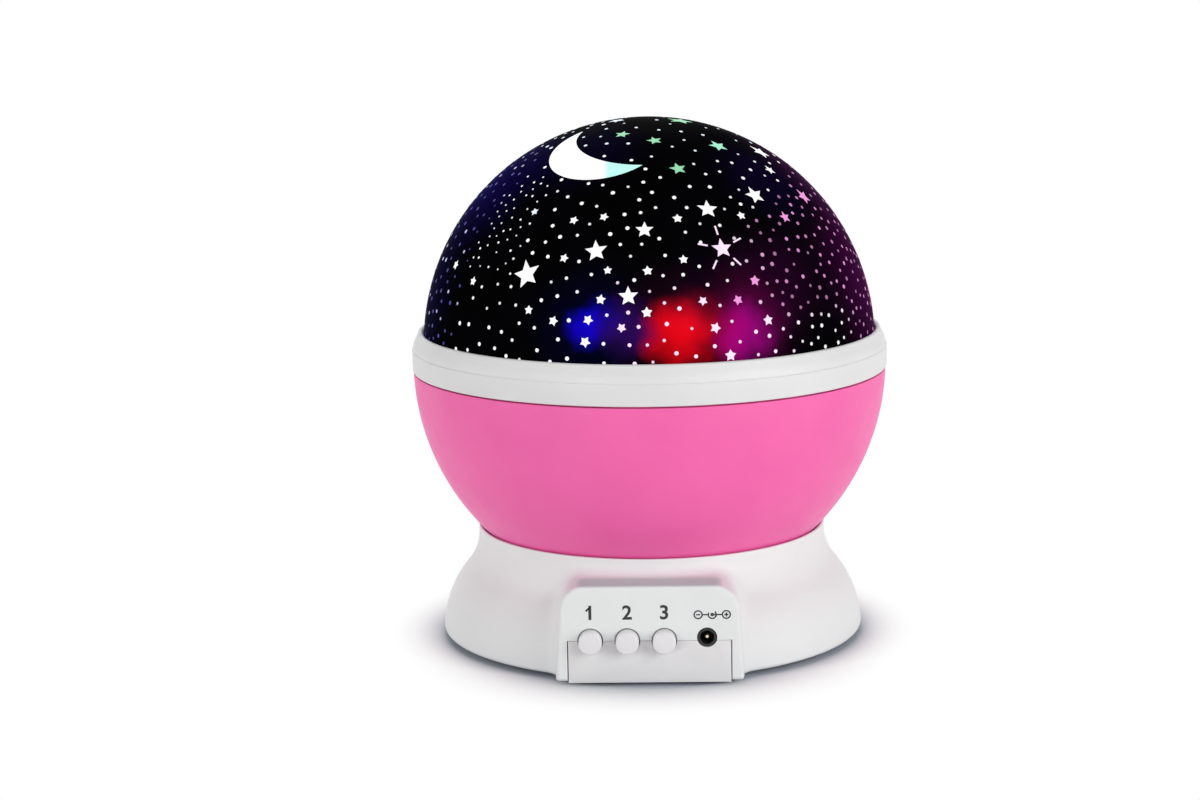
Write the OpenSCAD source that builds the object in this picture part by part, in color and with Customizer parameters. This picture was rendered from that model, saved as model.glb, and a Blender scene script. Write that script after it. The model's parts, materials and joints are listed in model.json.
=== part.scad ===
// Star night light projector: a lamp inside a black star dome, on a bowl that a small motor
// turns round a fixed lamp post. The flared base holds the motor, the cells and the controls.
// Millimetres. +Z is up, the control panel faces -Y, and the origin is on the floor under
// the axis that the globe turns about.

/* [Dome and ring] */
// Outer radius of the star dome
dome_r = 59.5; // [57:0.5:61]
// Wall of the star dome
dome_wall = 1.6; // [1.2:0.1:2.2]
// Straight edge of the dome below its widest line
dome_skirt_h = 0.9; // [0.5:0.1:1.2]
// Wall of the white ring at its vertical band
ring_wall = 2.9; // [2.6:0.1:4]
// Height of the ring's vertical band, from the seam to the dome's widest line
ring_band_h = 5.6; // [5.4:0.1:7]
// Height of the ring's rounded shoulder above the band
ring_shoulder_h = 4.5; // [3:0.1:6]
// Width of the ring's flat inner lip
ring_lip_w = 1.1; // [0.6:0.1:1.4]
// Gap round the dome inside the ring
dome_gap = 0.1; // [0.05:0.05:0.2]
// Height of the clamp that holds the dome up into the ring
clamp_h = 1.5; // [1:0.1:1.6]

/* [Bowl] */
// Wall of the bowl
bowl_wall = 2; // [1.6:0.1:3]
// Radius of the bowl's flat bottom
bowl_flat_r = 40; // [38:0.5:42]
// How far the ring stands proud of the bowl
bowl_step = 0.25; // [0.1:0.05:0.6]
// Height of the bowl's widest line above the seam
bowl_widest_above_seam = 1.1; // [0.5:0.1:2]
// Height of the spigot that the ring sits over
spigot_h = 2.9; // [2.5:0.1:3]
// Wall of the spigot
spigot_wall = 1.5; // [1.2:0.1:2]
// Gap round the spigot inside the ring
spigot_gap = 0.3; // [0.2:0.05:0.4]
// Stand-out of the three bayonet lugs
lug_out = 1.3; // [0.8:0.1:1.4]
// Height of a bayonet lug
lug_h = 1.6; // [1:0.1:1.8]
// Angle that a bayonet lug covers
lug_angle = 12; // [8:1:20]
// Outer radius of the bowl's hub
hub_r = 8; // [7:0.1:10]
// Height of the bowl's hub above the bowl's underside
hub_h = 11; // [8:0.5:20]
// Thickness of the white deck that closes the bowl
inner_deck_t = 1.6; // [1.2:0.1:2.4]

/* [Base] */
// How far the rubber feet stand below the base
foot_out = 1.2; // [0.6:0.1:2]
// Radius of a rubber foot
foot_r = 4.5; // [3:0.1:5]
// Distance from the skirt's edge in to a foot's centre
foot_inset = 9.9; // [9:0.1:11.4]
// Largest radius of the flared skirt
skirt_r = 55.9; // [54:0.1:58]
// Radius of the skirt's outward curve
skirt_curve_r = 26; // [24:0.5:28]
// How far the collar rises over the bowl's underside
collar_rise = 4.6; // [4:0.1:5.4]
// Height of the straight band at the top of the collar
collar_straight = 1.8; // [1:0.1:3]
// Thickness of the collar's top edge, beside the bowl
collar_lip = 0.6; // [0.5:0.05:1.2]
// Wall of the base shell
base_wall = 2.2; // [1.8:0.1:2.6]
// Gap between the collar and the turning bowl
bowl_gap = 0.35; // [0.3:0.05:0.5]
// Top of the deck above the floor
deck_top = 21; // [20.5:0.1:22]
// Thickness of the deck
deck_t = 2; // [1.6:0.1:2.4]
// Thickness of the bottom cover
cover_t = 2; // [1.6:0.1:2.4]
// Distance from the collar's outside in to a cover screw's axis
cover_screw_inset = 3; // [2.4:0.1:5]
// Radius of a cover screw's shank
cover_screw_r = 1.2; // [1:0.1:1.4]

/* [Control panel] */
// How far the panel's face stands proud of the skirt's widest line
panel_proud = 1.1; // [0.6:0.1:3]
// Width of the panel above its corners
panel_w = 44.8; // [44:0.2:48]
// Extra width of the panel at the floor, from its draft
panel_draft = 2.3; // [1:0.1:3]
// Top of the panel above the floor
panel_top = 25.6; // [24.5:0.1:26.5]
// Radius of the panel's upper corners
panel_corner_r = 6.5; // [5:0.1:8]
// Wall of the panel
panel_wall = 2; // [1.6:0.1:2.4]
// Width of each of the panel's legs beside the cover's front tab
leg_w = 2.15; // [1.9:0.05:2.4]
// Height of the parting line, which the buttons are centred on
parting_z = 11.7; // [11:0.1:12.5]
// Diameter of a button
button_d = 5.8; // [5:0.1:6.4]
// Clearance round a button in its hole
button_gap = 0.3; // [0.2:0.05:0.4]
// Distance between buttons
button_pitch = 9.2; // [8.8:0.1:10]
// Place of the middle button across the panel
button_mid_x = -5.5; // [-7:0.1:-5]
// How far the buttons stand out of the panel
button_out = 3.2; // [2.4:0.1:4]
// Travel of a button
button_travel = 1.5; // [1:0.1:1.8]
// Place of the power socket across the panel
jack_x = 14.3; // [13.5:0.1:15]
// Height of the power socket's centre over the parting line
jack_rise = 0.7; // [0:0.1:1.3]
// Radius of the power socket's nose
jack_nose_r = 2.35; // [2.2:0.05:2.6]
// Radius of the bore in the power socket
jack_bore_r = 1.75; // [1.7:0.05:1.9]
// Radius of the power socket's centre pin
jack_pin_r = 0.65; // [0.6:0.05:0.7]
// Length of the centre pin's straight wall
jack_pin_l = 6.9; // [6:0.1:7.2]

/* [Drive] */
// Module of the gears
gear_module = 1; // [0.95:0.01:1.02]
// Teeth on the globe's gear
gear_teeth = 57; // [54:1:58]
// Teeth on the motor's pinion
pinion_teeth = 12; // [12:1:13]
// Thickness of the globe's gear
gear_t = 3.2; // [3:0.1:4]
// Thickness of the pinion
pinion_t = 3; // [2:0.1:3.2]
// Thickness of the thrust washer under the gear
washer_t = 0.8; // [0.6:0.1:1]
// Radius of the lamp post's journal
journal_r = 5; // [4.8:0.1:5.5]
// Running clearance round the journal
journal_gap = 0.05; // [0.02:0.01:0.08]
// Radius of the motor's gearbox
gearbox_r = 10; // [9:0.1:10.5]
// Height of the motor's gearbox
gearbox_h = 7; // [6:0.1:9]
// Radius of the motor's can
can_r = 7.5; // [6:0.1:8]
// Height of the motor's can
can_h = 7; // [5:0.1:7.5]
// Radius of the motor's shaft
shaft_r = 1.5; // [1.2:0.1:2]

/* [Lamp] */
// Wall of the hollow lamp post
post_wall = 1.8; // [1.4:0.1:2]
// Radius of the circle that the lamps stand on
led_circle_r = 22; // [18:0.5:23]
// Rim of the lamp board outside that circle
lamp_board_rim = 5; // [3:0.5:8]
// Radius of a lamp
led_r = 2.5; // [1.5:0.1:3]
// Height of a lamp
led_h = 8.6; // [7:0.1:10]
// Thickness of the circuit boards
board_t = 1.6; // [1:0.1:2]

/* [Cells] */
// Number of cells
cell_count = 4; // [3:1:4]
// Width of one cell's lane
cell_pitch = 11; // [10.6:0.1:11.2]
// Length of the cell bay
bay_l = 51; // [50:0.5:52]
// Depth of the cell bay
bay_h = 10.7; // [10.5:0.1:11]
// Length of a cell spring when no cell is in
spring_l = 5; // [4:0.1:6]
// Place of the bay's front wall
bay_front_y = -19; // [-21:0.5:-18]
// Thickness of the cell door
door_t = 1.6; // [1.2:0.1:2]

/* [Hidden] */
$fn = 96;

eps = 0.01;
// How far a cut runs past the face that it opens
past = 1;
fit_gap = 0.05;
seat_gap = 0.3;
arc_bite = 0.02;

// Levels above the floor, from the feet up
base_z = foot_out;
cover_top = base_z + cover_t;
deck_under = deck_top - deck_t;
gear_z = deck_top + washer_t;
bowl_z = gear_z + gear_t;
collar_top = bowl_z + collar_rise;
ring_r = dome_r + dome_gap + ring_wall;
bowl_r = ring_r - bowl_step;
bowl_centre_z = bowl_z + sqrt(bowl_r * bowl_r - bowl_flat_r * bowl_flat_r);
seam_z = bowl_centre_z - bowl_widest_above_seam;
dome_z = seam_z + ring_band_h;
ring_top = dome_z + ring_shoulder_h;

// The bowl's floor: bosses for the gear's screws, and ribs from the hub
boss_h = 5;
gear_boss_r = 3;
rib_count = 6;
rib_w = 1.2;
rib_h = 3;
rib_end_gap = 8;

// Spigot, ledge and inner deck at the mouth of the bowl
ring_in_r = dome_r + dome_gap;
spigot_r = ring_in_r - spigot_gap;
spigot_in_r = spigot_r - spigot_wall;
ledge_w = 1.8;
ledge_t = 1.4;
ledge_lap = 0.5;
inner_deck_drop = 1.2;
inner_deck_z = seam_z - inner_deck_drop;
inner_deck_hole_gap = 1.2;

// Bayonet lugs on the spigot, and the slots that they turn in
lug_count = 3;
lug_start = 30;
lug_lift = 0.8;
lug_z = seam_z + lug_lift;
lug_r = spigot_r + lug_out;
lug_root = 0.5;
slot_gap = 0.3;
slot_spare_angle = 4;
slot_turn = 22;
slot_under = 0.2;
slot_over = 0.6;

// The ring's outside: how far in from the band its shoulder is, at each share of its height
shoulder = [[0.18, 0.45], [0.42, 0.85], [0.66, 1.35]];
ring_foot_w = 0.2;
ring_foot_h = 0.3;
ring_crease_w = 0.25;
ring_crease_h = 0.2;
lip_edge_w = 0.3;
lip_edge_h = 0.4;
lip_under = 1;
clamp_lap = 0.2;

// The skirt's outward curve and the neck's inward curve meet and share a slope
collar_mouth_r = sqrt(pow(bowl_r + bowl_gap, 2) - pow(bowl_centre_z - collar_top, 2));
collar_r = collar_mouth_r + collar_lip;
skirt_drop = 0.2;
skirt_cx = skirt_r - skirt_curve_r;
skirt_cz = base_z - skirt_drop;
neck_cz = collar_top - collar_straight;
neck_in = collar_r - skirt_cx;
neck_up = neck_cz - skirt_cz;
neck_curve_r = (neck_in * neck_in + neck_up * neck_up - skirt_curve_r * skirt_curve_r)
    / 2 / (skirt_curve_r - neck_in);
neck_cx = collar_r + neck_curve_r;
skirt_share = skirt_curve_r / (skirt_curve_r + neck_curve_r);
meet_x = skirt_cx + skirt_share * (neck_cx - skirt_cx);
meet_z = skirt_cz + skirt_share * neck_up;
meet_lap = 0.3;
neck_lap = 2;
skirt_edge_r = 1.1;
cover_r = skirt_r - base_wall - seat_gap;

// Cover screws in their bosses
cover_screw_circle_r = collar_r - cover_screw_inset;
cover_screw_angles = [30, 150, 210, 330];
cover_screw_l = 9;
cover_screw_gap = 0.15;
cover_screw_head_r = 2.6;
cover_screw_head_h = 1.6;
cover_boss_r = 4.2;
cover_boss_h = 2;
shell_boss_r = 3.4;
head_seat = 0.2;
head_gap = 0.4;

// Control panel
panel_out = skirt_r + panel_proud;
panel_in = panel_out - panel_wall;
panel_depth = 17;
panel_back = panel_out - panel_depth;
tab_half = panel_w / 2 - leg_w;
tab_gap = 0.25;
tab_drop = 0.3;
parting_gap = 0.1;
button_hole_r = button_d / 2 + button_gap;
button_xs = [for (i = [-1, 0, 1]) button_mid_x + i * button_pitch];
flange_gap = 0.1;
flange_t = 1;
flange_out = 0.7;
cap_back = -panel_in + flange_gap + flange_t;
cap_edge = 0.6;
cap_socket = 2.2;
stem_w = 3;
stem_bite = 1.2;
stem_gap = 0.2;
press_room = 1.6;
switch_w = 7;
switch_d = 4.2;
switch_front = cap_back + button_travel + press_room;
board_y = switch_front + switch_d;
board_back = board_y + board_t;
board_side_gap = 0.75;
board_w = 2 * (tab_half - board_side_gap);
board_lift = 0.8;
board_z = cover_top + board_lift;
board_h = deck_under - 0.6 - board_z;
guide_w = 1.4;
guide_t = 1.6;
guide_top = parting_z - 1.6;

// Power socket
jack_z = parting_z + jack_rise;
jack_gap = 0.15;
jack_w = 6.6;
jack_lap = 0.1;
jack_bore_l = 8;
jack_root_r = 0.9;
jack_root_l = 1.4;
jack_tip = 0.3;

// Drive
gear_r = gear_module * gear_teeth / 2;
pinion_r = gear_module * pinion_teeth / 2;
motor_x = gear_r + pinion_r;
pressure_angle = 20;
gear_addendum = 0.75;
pinion_addendum = 1;
dedendum = 1.25;
backlash_gap = 0.12;
pinion_drop = 0.1;
pinion_room = 0.6;
bore_r = journal_r + journal_gap;
web_t = 1.8;
gear_hub_r = 9.5;
gear_rim_w = 1.2;
gear_screw_count = 3;
gear_screw_start = 30;
gear_screw_circle_r = 17;
gear_screw_l = 6.4;
gear_window_count = 6;
gear_window_r = 3.2;
gear_window_circle_r = gear_screw_circle_r + 0.5;
washer_inset = 0.5;
washer_gap = 0.1;
screw_r = 1;
screw_head_r = 2;
screw_head_h = 1;
// Plastic left over a blind screw hole, and the room at the screw's end
blind_t = 0.4;
screw_end_gap = 0.1;
ear_w = 6.4;
ear_t = 1.5;
ear_hole_y = gearbox_r + 2.6;
ear_l = 2 * (ear_hole_y + 2.4);
shaft_hole_gap = 0.5;
shaft_bore_l = 4;
shaft_end_gap = 0.2;

// Lamp post and lamps
post_in_r = journal_r - post_wall;
post_hole_gap = 0.2;
post_flange_t = 1.8;
post_screw_count = 3;
post_screw_start = 90;
post_screw_circle_r = journal_r + 4.5;
flange_r = post_screw_circle_r + 3.5;
clip_t = 0.8;
clip_z = bowl_z + hub_h + washer_gap;
clip_mouth = 1;
groove_r = journal_r - 0.8;
lead_notch_w = 2.4;
lead_notch_top = deck_top - 0.5;
holder_lift = 0.6;
holder_z = inner_deck_z + inner_deck_t + holder_lift;
holder_t = 1;
holder_r = 12;
holder_sleeve_l = 10;
holder_sleeve_t = 1;
lamp_board_r = led_circle_r + lamp_board_rim;
lamp_board_z = holder_z + holder_t;
led_z = lamp_board_z + board_t;
led_step = 72;
led_start = 3;
led_flange_out = 0.45;
led_flange_h = 1;

// Cell bay, beside the motor, and its door
bay_w = cell_count * cell_pitch;
bay_wall = 1.5;
bay_roof = 1.2;
motor_room = 1;
bay_mid_x = motor_x - gearbox_r - motor_room - bay_wall - bay_w / 2;
bay_back_y = bay_front_y + bay_l;
bay_floor_z = base_z + 1.8;
bay_top = bay_floor_z + bay_h;
door_w = bay_w + 4;
door_gap = 0.3;
door_front_y = bay_front_y - 2;
door_back_y = bay_back_y + 2.4;
hinge_z = base_z + door_t / 2;
latch_w = 10;
latch_slot = 0.8;
latch_l = 7;
latch_step = 0.4;
scoop_r = 3;
scoop_y = 2.2;
rim_w = 2;
rim_top = bay_floor_z + 1.6;
plate_t = 0.4;
plate_w = 9;
plate_h = 8;
nub_r = 2.2;
nub_out = 0.5;
cell_z = bay_floor_z + bay_h / 2;
spring_turns = 3;
spring_steps = 12;
spring_wire_r = 0.3;
spring_seat_r = 4;
spring_tip_r = 2.2;

// The feet stand beside the door
foot_circle_r = skirt_r - foot_inset;
foot_door_gap = 0.8;
foot_x = abs(bay_mid_x) + door_w / 2 + door_gap + foot_r + foot_door_gap;
foot_y = sqrt(foot_circle_r * foot_circle_r - foot_x * foot_x);
foot_sink = 0.8;
foot_gap = 0.1;
foot_edge = 0.4;

// Leads
lead_r = 0.7;
lamp_lead_r = 0.9;
lead_sides = 8;
lead_out = 3;
lead_z = 9;
motor_lead_x = 16;
cell_lead_x = -16;
lamp_lead_x = -8;

white = "whitesmoke";
pink = "hotpink";
steel = "silver";

// ---------------------------------------------------------------- helpers

module tube(r_out, r_in, z0, z1) {
    difference() {
        translate([0, 0, z0]) cylinder(r = r_out, h = z1 - z0);
        translate([0, 0, z0 - past]) cylinder(r = r_in, h = z1 - z0 + 2 * past);
    }
}

module rod(r, z0, z1) {
    translate([0, 0, z0]) cylinder(r = r, h = z1 - z0);
}

// A round bar along Y, from y0 to y1
module rod_y(r, x, z, y0, y1) {
    translate([x, y0, z]) rotate([-90, 0, 0]) cylinder(r = r, h = y1 - y0);
}

module box_from(low, high) {
    translate(low) cube(high - low);
}

module around(count, radius, start = 0) {
    for (i = [0 : count - 1]) rotate([0, 0, start + i * 360 / count]) translate([radius, 0, 0]) children();
}

// Screw that points up, with the underside of its head's seat at z = seat
module screw(seat, shank_l, r, head_r, head_h) {
    rod(head_r, seat - head_h, seat);
    rod(r, seat - eps, seat + shank_l);
}

function unit(v) = v / norm(v);

// A smooth curve through hand-chosen points, with steps pieces between each two
function through(p, steps) = [
    for (i = [0 : len(p) - 2]) for (k = [0 : steps - 1])
        let (
            a = i == 0 ? 2 * p[0] - p[1] : p[i - 1],
            b = p[i],
            c = p[i + 1],
            d = i == len(p) - 2 ? 2 * p[i + 1] - p[i] : p[i + 2],
            t = k / steps
        )
        0.5 * (2 * b + (c - a) * t + (2 * a - 5 * b + 4 * c - d) * t * t
            + (3 * b - a - 3 * c + d) * t * t * t),
    p[len(p) - 1]
];

// A round bar swept along a path. across is a direction that the path never takes
module sweep(path, r, sides, across) {
    last = len(path) - 1;
    points = [
        for (i = [0 : last])
            let (
                ahead = unit(path[min(i + 1, last)] - path[max(i - 1, 0)]),
                side = unit(cross(across, ahead)),
                up = cross(ahead, side)
            )
            for (k = [0 : sides - 1])
                path[i] + r * (cos(k * 360 / sides) * side + sin(k * 360 / sides) * up)
    ];
    walls = [
        for (i = [0 : last - 1]) for (k = [0 : sides - 1])
            let (n = (k + 1) % sides)
            each [
                [i * sides + k, (i + 1) * sides + k, (i + 1) * sides + n],
                [i * sides + k, (i + 1) * sides + n, i * sides + n]
            ]
    ];
    ends = [
        [for (k = [0 : sides - 1]) k],
        [for (k = [sides - 1 : -1 : 0]) last * sides + k]
    ];
    polyhedron(points, concat(walls, ends), convexity = 6);
}

// Involute gear outline. addendum is a share of the module
function involute(r, base) = let (a = acos(min(1, base / r))) tan(a) * 180 / PI - a;

function gear_points(teeth, addendum, phase, flank_steps = 4) =
    let (
        pitch = gear_module * teeth / 2,
        base = pitch * cos(pressure_angle),
        tip = pitch + addendum * gear_module,
        root = pitch - dedendum * gear_module,
        start = max(base, root),
        half = 90 / teeth - backlash_gap / 2 / pitch * 180 / PI + involute(pitch, base)
    )
    [
        for (i = [0 : teeth - 1])
            let (mid = phase + i * 360 / teeth)
            each [
                for (side = [-1, 1])
                    each [
                        for (s = [0 : flank_steps + 1])
                            let (
                                k = side < 0 ? s - 1 : flank_steps - s,
                                r = k < 0 ? root : start + (tip - start) * k / flank_steps,
                                a = mid + side * (half - involute(max(r, start), base))
                            )
                            [r * cos(a), r * sin(a)]
                    ]
            ]
    ];

// ---------------------------------------------------------------- base

// Half section of the flared shell: outer curves for grow = 0, inner ones for grow = -wall
module skirt_section(z0, z1, grow = 0) {
    difference() {
        intersection() {
            union() {
                intersection() {
                    translate([skirt_cx, skirt_cz]) circle(r = skirt_curve_r + grow);
                    translate([0, z0]) square([skirt_r + past, meet_z - z0]);
                }
                translate([0, z0]) square([skirt_cx, meet_z - z0]);
                translate([0, meet_z - eps]) square([meet_x + grow + meet_lap, neck_cz - meet_z]);
                translate([0, neck_cz - neck_lap]) square([collar_r + grow, z1 - neck_cz + neck_lap]);
            }
            translate([0, z0]) square([skirt_r + past, z1 - z0]);
        }
        translate([neck_cx, neck_cz]) circle(r = neck_curve_r + arc_bite - grow);
    }
}

module skirt_edge_cut() {
    difference() {
        translate([skirt_r - skirt_edge_r, base_z - past]) square(skirt_edge_r + past);
        translate([skirt_r - skirt_edge_r, base_z + skirt_edge_r]) circle(r = skirt_edge_r + arc_bite);
    }
}

module panel_outline() {
    corner_x = panel_w / 2 - panel_corner_r;
    corner_z = panel_top - panel_corner_r;
    polygon([
        [-panel_w / 2 - panel_draft / 2, base_z],
        [panel_w / 2 + panel_draft / 2, base_z],
        [panel_w / 2, corner_z],
        [-panel_w / 2, corner_z]
    ]);
    translate([-corner_x, corner_z - eps]) square([2 * corner_x, panel_corner_r + eps]);
    for (s = [-1, 1]) translate([s * corner_x, corner_z]) circle(r = panel_corner_r);
}

module panel_holes() {
    for (x = button_xs) rod_y(button_hole_r, x, parting_z, -panel_out - past, -panel_in + past);
    rod_y(jack_nose_r + jack_gap, jack_x, jack_z, -panel_out - past, -panel_in + past);
}

module cover_bosses() {
    for (a = cover_screw_angles) rotate([0, 0, a]) translate([cover_screw_circle_r, 0, 0]) children();
}

module foot_places() {
    for (x = [-foot_x, foot_x]) for (y = [-foot_y, foot_y]) translate([x, y, 0]) children();
}

module base_shell() color(white) {
    inner_half = tab_half + tab_gap;
    difference() {
        union() {
            rotate_extrude() difference() {
                skirt_section(base_z, collar_top);
                skirt_edge_cut();
            }
            translate([0, -panel_back, 0]) rotate([90, 0, 0])
                linear_extrude(panel_out - panel_back) panel_outline();
        }
        rotate_extrude() skirt_section(base_z - past, deck_under, -base_wall);
        rotate_extrude() intersection() {
            skirt_section(base_z, collar_top + past, -base_wall);
            translate([0, deck_top]) square([skirt_r, collar_top]);
        }
        rotate_extrude() intersection() {
            translate([0, bowl_centre_z]) circle(r = bowl_r + bowl_gap);
            translate([0, deck_top]) square([skirt_r, collar_top - deck_top + past]);
        }
        box_from([-inner_half, -panel_in, base_z - past], [inner_half, -panel_back, deck_under]);
        difference() {
            box_from([-inner_half, -panel_in, deck_under - eps],
                [inner_half, -panel_back, panel_top - panel_wall]);
            rotate_extrude() skirt_section(base_z, collar_top);
        }
        box_from([-inner_half, -panel_out - past, base_z - past], [inner_half, -panel_in + eps, parting_z]);
        panel_holes();
        rod(journal_r + post_hole_gap, deck_under - past, deck_top + past);
        around(post_screw_count, post_screw_circle_r, post_screw_start)
            rod(screw_r + fit_gap, deck_under - past, deck_top - blind_t);
        translate([motor_x, 0, 0]) {
            rod(shaft_r + shaft_hole_gap, deck_under - past, deck_top + past);
            rod(pinion_r + pinion_addendum * gear_module + pinion_room, deck_top, bowl_z);
            for (s = [-1, 1]) translate([0, s * ear_hole_y, 0])
                rod(screw_r + fit_gap, deck_under - past, deck_top - blind_t);
        }
    }
    cover_bosses()
        tube(shell_boss_r, cover_screw_r + fit_gap, cover_top + cover_boss_h + head_seat, deck_under + eps);
}

module bottom_cover() color(white) {
    left = bay_mid_x - bay_w / 2;
    right = bay_mid_x + bay_w / 2;
    door_left = bay_mid_x - door_w / 2;
    door_right = bay_mid_x + door_w / 2;
    guide_x = board_w / 2;
    difference() {
        union() {
            rod(cover_r, base_z, cover_top);
            box_from([-tab_half, -panel_out, base_z - tab_drop],
                [tab_half, -panel_in + eps, parting_z - parting_gap]);
            box_from([-tab_half, -panel_in, base_z], [tab_half, -panel_back, cover_top]);
            box_from([left - bay_wall, bay_front_y - bay_wall, base_z],
                [right + bay_wall, bay_back_y + bay_wall, bay_top + bay_roof]);
            box_from([door_left - rim_w, door_front_y - rim_w, base_z],
                [door_right + rim_w, door_back_y + door_t / 2 + rim_w, rim_top]);
            cover_bosses() rod(cover_boss_r, base_z, cover_top + cover_boss_h);
            for (s = [-1, 1]) box_from([s * guide_x - guide_w / 2, board_y - guide_t, base_z],
                [s * guide_x + guide_w / 2, board_back + guide_t, guide_top]);
        }
        box_from([left, bay_front_y, base_z - past], [right, bay_back_y, bay_top]);
        box_from([door_left - door_gap, door_front_y - door_gap, base_z - past],
            [door_right + door_gap, door_back_y, bay_floor_z]);
        translate([door_left - door_gap, door_back_y, hinge_z]) rotate([0, 90, 0])
            cylinder(r = door_t / 2 + door_gap, h = door_w + 2 * door_gap);
        box_from([-guide_x - fit_gap, board_y - fit_gap, board_z],
            [guide_x + fit_gap, board_back + fit_gap, parting_z]);
        panel_holes();
        cover_bosses() rod(cover_screw_head_r + head_gap, base_z - past, cover_top + head_seat);
        cover_bosses() rod(cover_screw_r + cover_screw_gap, base_z, cover_top + cover_boss_h + past);
        foot_places() rod(foot_r + foot_gap, base_z - past, base_z + foot_sink);
    }
}

module rubber_feet() color("dimgray") foot_places() {
    rod(foot_r - foot_edge, 0, foot_edge + fit_gap);
    rod(foot_r, foot_edge, base_z + foot_sink);
}

module cover_screws() color(steel) cover_bosses()
    screw(cover_top + head_seat, cover_screw_l, cover_screw_r, cover_screw_head_r, cover_screw_head_h);

// ---------------------------------------------------------------- controls

module control_board() color("seagreen") {
    box_from([-board_w / 2, board_y, board_z], [board_w / 2, board_back, board_z + board_h]);
}

module switch_bodies() color("darkslategray") for (x = button_xs) difference() {
    well = stem_w / 2 + stem_gap;
    box_from([x - switch_w / 2, switch_front, parting_z - switch_w / 2],
        [x + switch_w / 2, board_y, parting_z + switch_w / 2]);
    box_from([x - well, switch_front - past, parting_z - well],
        [x + well, switch_front + stem_bite + button_travel + seat_gap, parting_z + well]);
}

module dc_jack() color("black") difference() {
    bore_end = -panel_out + jack_bore_l;
    union() {
        rod_y(jack_nose_r, jack_x, jack_z, -panel_out, -panel_in + 2 * jack_lap);
        box_from([jack_x - jack_w / 2, -panel_in + jack_lap, jack_z - jack_w / 2],
            [jack_x + jack_w / 2, board_y, jack_z + jack_w / 2]);
    }
    rod_y(jack_bore_r, jack_x, jack_z, -panel_out - past, bore_end);
    rod_y(jack_root_r + fit_gap, jack_x, jack_z, bore_end - jack_lap, bore_end + jack_root_l + jack_lap);
}

module jack_pin() color("gold") {
    root = -panel_out + jack_bore_l;
    rod_y(jack_root_r, jack_x, jack_z, root, root + jack_root_l);
    rod_y(jack_pin_r, jack_x, jack_z, root - jack_pin_l, root);
    translate([jack_x, root - jack_pin_l, jack_z]) rotate([90, 0, 0])
        cylinder(r1 = jack_pin_r, r2 = jack_pin_r - jack_tip, h = jack_tip);
}

module button_cap(i) color(white) {
    cap_h = cap_back + panel_out + button_out;
    well = stem_w / 2 + fit_gap;
    difference() {
        translate([button_xs[i], cap_back, parting_z]) rotate([90, 0, 0]) rotate_extrude() {
            polygon([
                [0, 0],
                [button_hole_r + flange_out, 0],
                [button_hole_r + flange_out, flange_t],
                [button_d / 2, flange_t],
                [button_d / 2, cap_h - cap_edge],
                for (a = [15 : 15 : 75]) [
                    button_d / 2 - cap_edge + cap_edge * cos(a),
                    cap_h - cap_edge + cap_edge * sin(a)
                ],
                [button_d / 2 - cap_edge, cap_h],
                [0, cap_h]
            ]);
        }
        box_from([button_xs[i] - well, cap_back - cap_socket, parting_z - well],
            [button_xs[i] + well, cap_back + past, parting_z + well]);
    }
}

module plunger(i) color("ivory") {
    box_from([button_xs[i] - stem_w / 2, cap_back - cap_socket + fit_gap, parting_z - stem_w / 2],
        [button_xs[i] + stem_w / 2, switch_front + stem_bite, parting_z + stem_w / 2]);
}

// ---------------------------------------------------------------- drive

module gear_motor() color("gainsboro") translate([motor_x, 0, 0]) {
    gearbox_z = deck_under - gearbox_h;
    difference() {
        union() {
            rod(gearbox_r, gearbox_z, deck_under);
            rod(can_r, gearbox_z - can_h, gearbox_z + eps);
            box_from([-ear_w / 2, -ear_l / 2, deck_under - ear_t], [ear_w / 2, ear_l / 2, deck_under]);
        }
        rod(shaft_r + fit_gap, deck_under - shaft_bore_l, deck_under + past);
        for (s = [-1, 1]) translate([0, s * ear_hole_y, 0])
            rod(screw_r + fit_gap, deck_under - ear_t - past, deck_under + past);
    }
}

module motor_screws() color(steel)
    for (s = [-1, 1]) translate([motor_x, s * ear_hole_y, 0])
        screw(deck_under - ear_t, ear_t + deck_t - blind_t - screw_end_gap,
            screw_r, screw_head_r, screw_head_h);

module motor_shaft() color(steel) translate([motor_x, 0, 0])
    rod(shaft_r, deck_under - shaft_bore_l + shaft_end_gap, gear_z + pinion_t);

module drive_pinion() color("ivory") translate([motor_x, 0, gear_z - pinion_drop])
    difference() {
        linear_extrude(pinion_t)
            polygon(gear_points(pinion_teeth, pinion_addendum, 180 + 180 / pinion_teeth));
        rod(shaft_r + fit_gap / 2, -past, pinion_t + past);
    }

module globe_gear() color("ivory") difference() {
    translate([0, 0, gear_z]) linear_extrude(gear_t) polygon(gear_points(gear_teeth, gear_addendum, 0));
    difference() {
        rod(gear_r - dedendum * gear_module - gear_rim_w, gear_z - past, bowl_z - web_t);
        rod(gear_hub_r, gear_z - 2 * past, bowl_z);
    }
    rod(bore_r, gear_z - past, bowl_z + past);
    around(gear_screw_count, gear_screw_circle_r, gear_screw_start)
        rod(screw_r + fit_gap, gear_z - past, bowl_z + past);
    around(gear_window_count, gear_window_circle_r) rod(gear_window_r, gear_z - past, bowl_z + past);
}

module gear_screws() color(steel)
    around(gear_screw_count, gear_screw_circle_r, gear_screw_start)
        screw(bowl_z - web_t, gear_screw_l, screw_r, screw_head_r, screw_head_h);

module thrust_washer() color("white")
    tube(gear_hub_r - washer_inset, journal_r + washer_gap, deck_top, gear_z);

module retaining_clip() color(steel) difference() {
    mouth_half = groove_r - clip_mouth;
    tube(hub_r, groove_r + fit_gap, clip_z, clip_z + clip_t);
    box_from([0, -mouth_half, clip_z - past], [hub_r + past, mouth_half, clip_z + clip_t + past]);
}

// ---------------------------------------------------------------- globe

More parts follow.
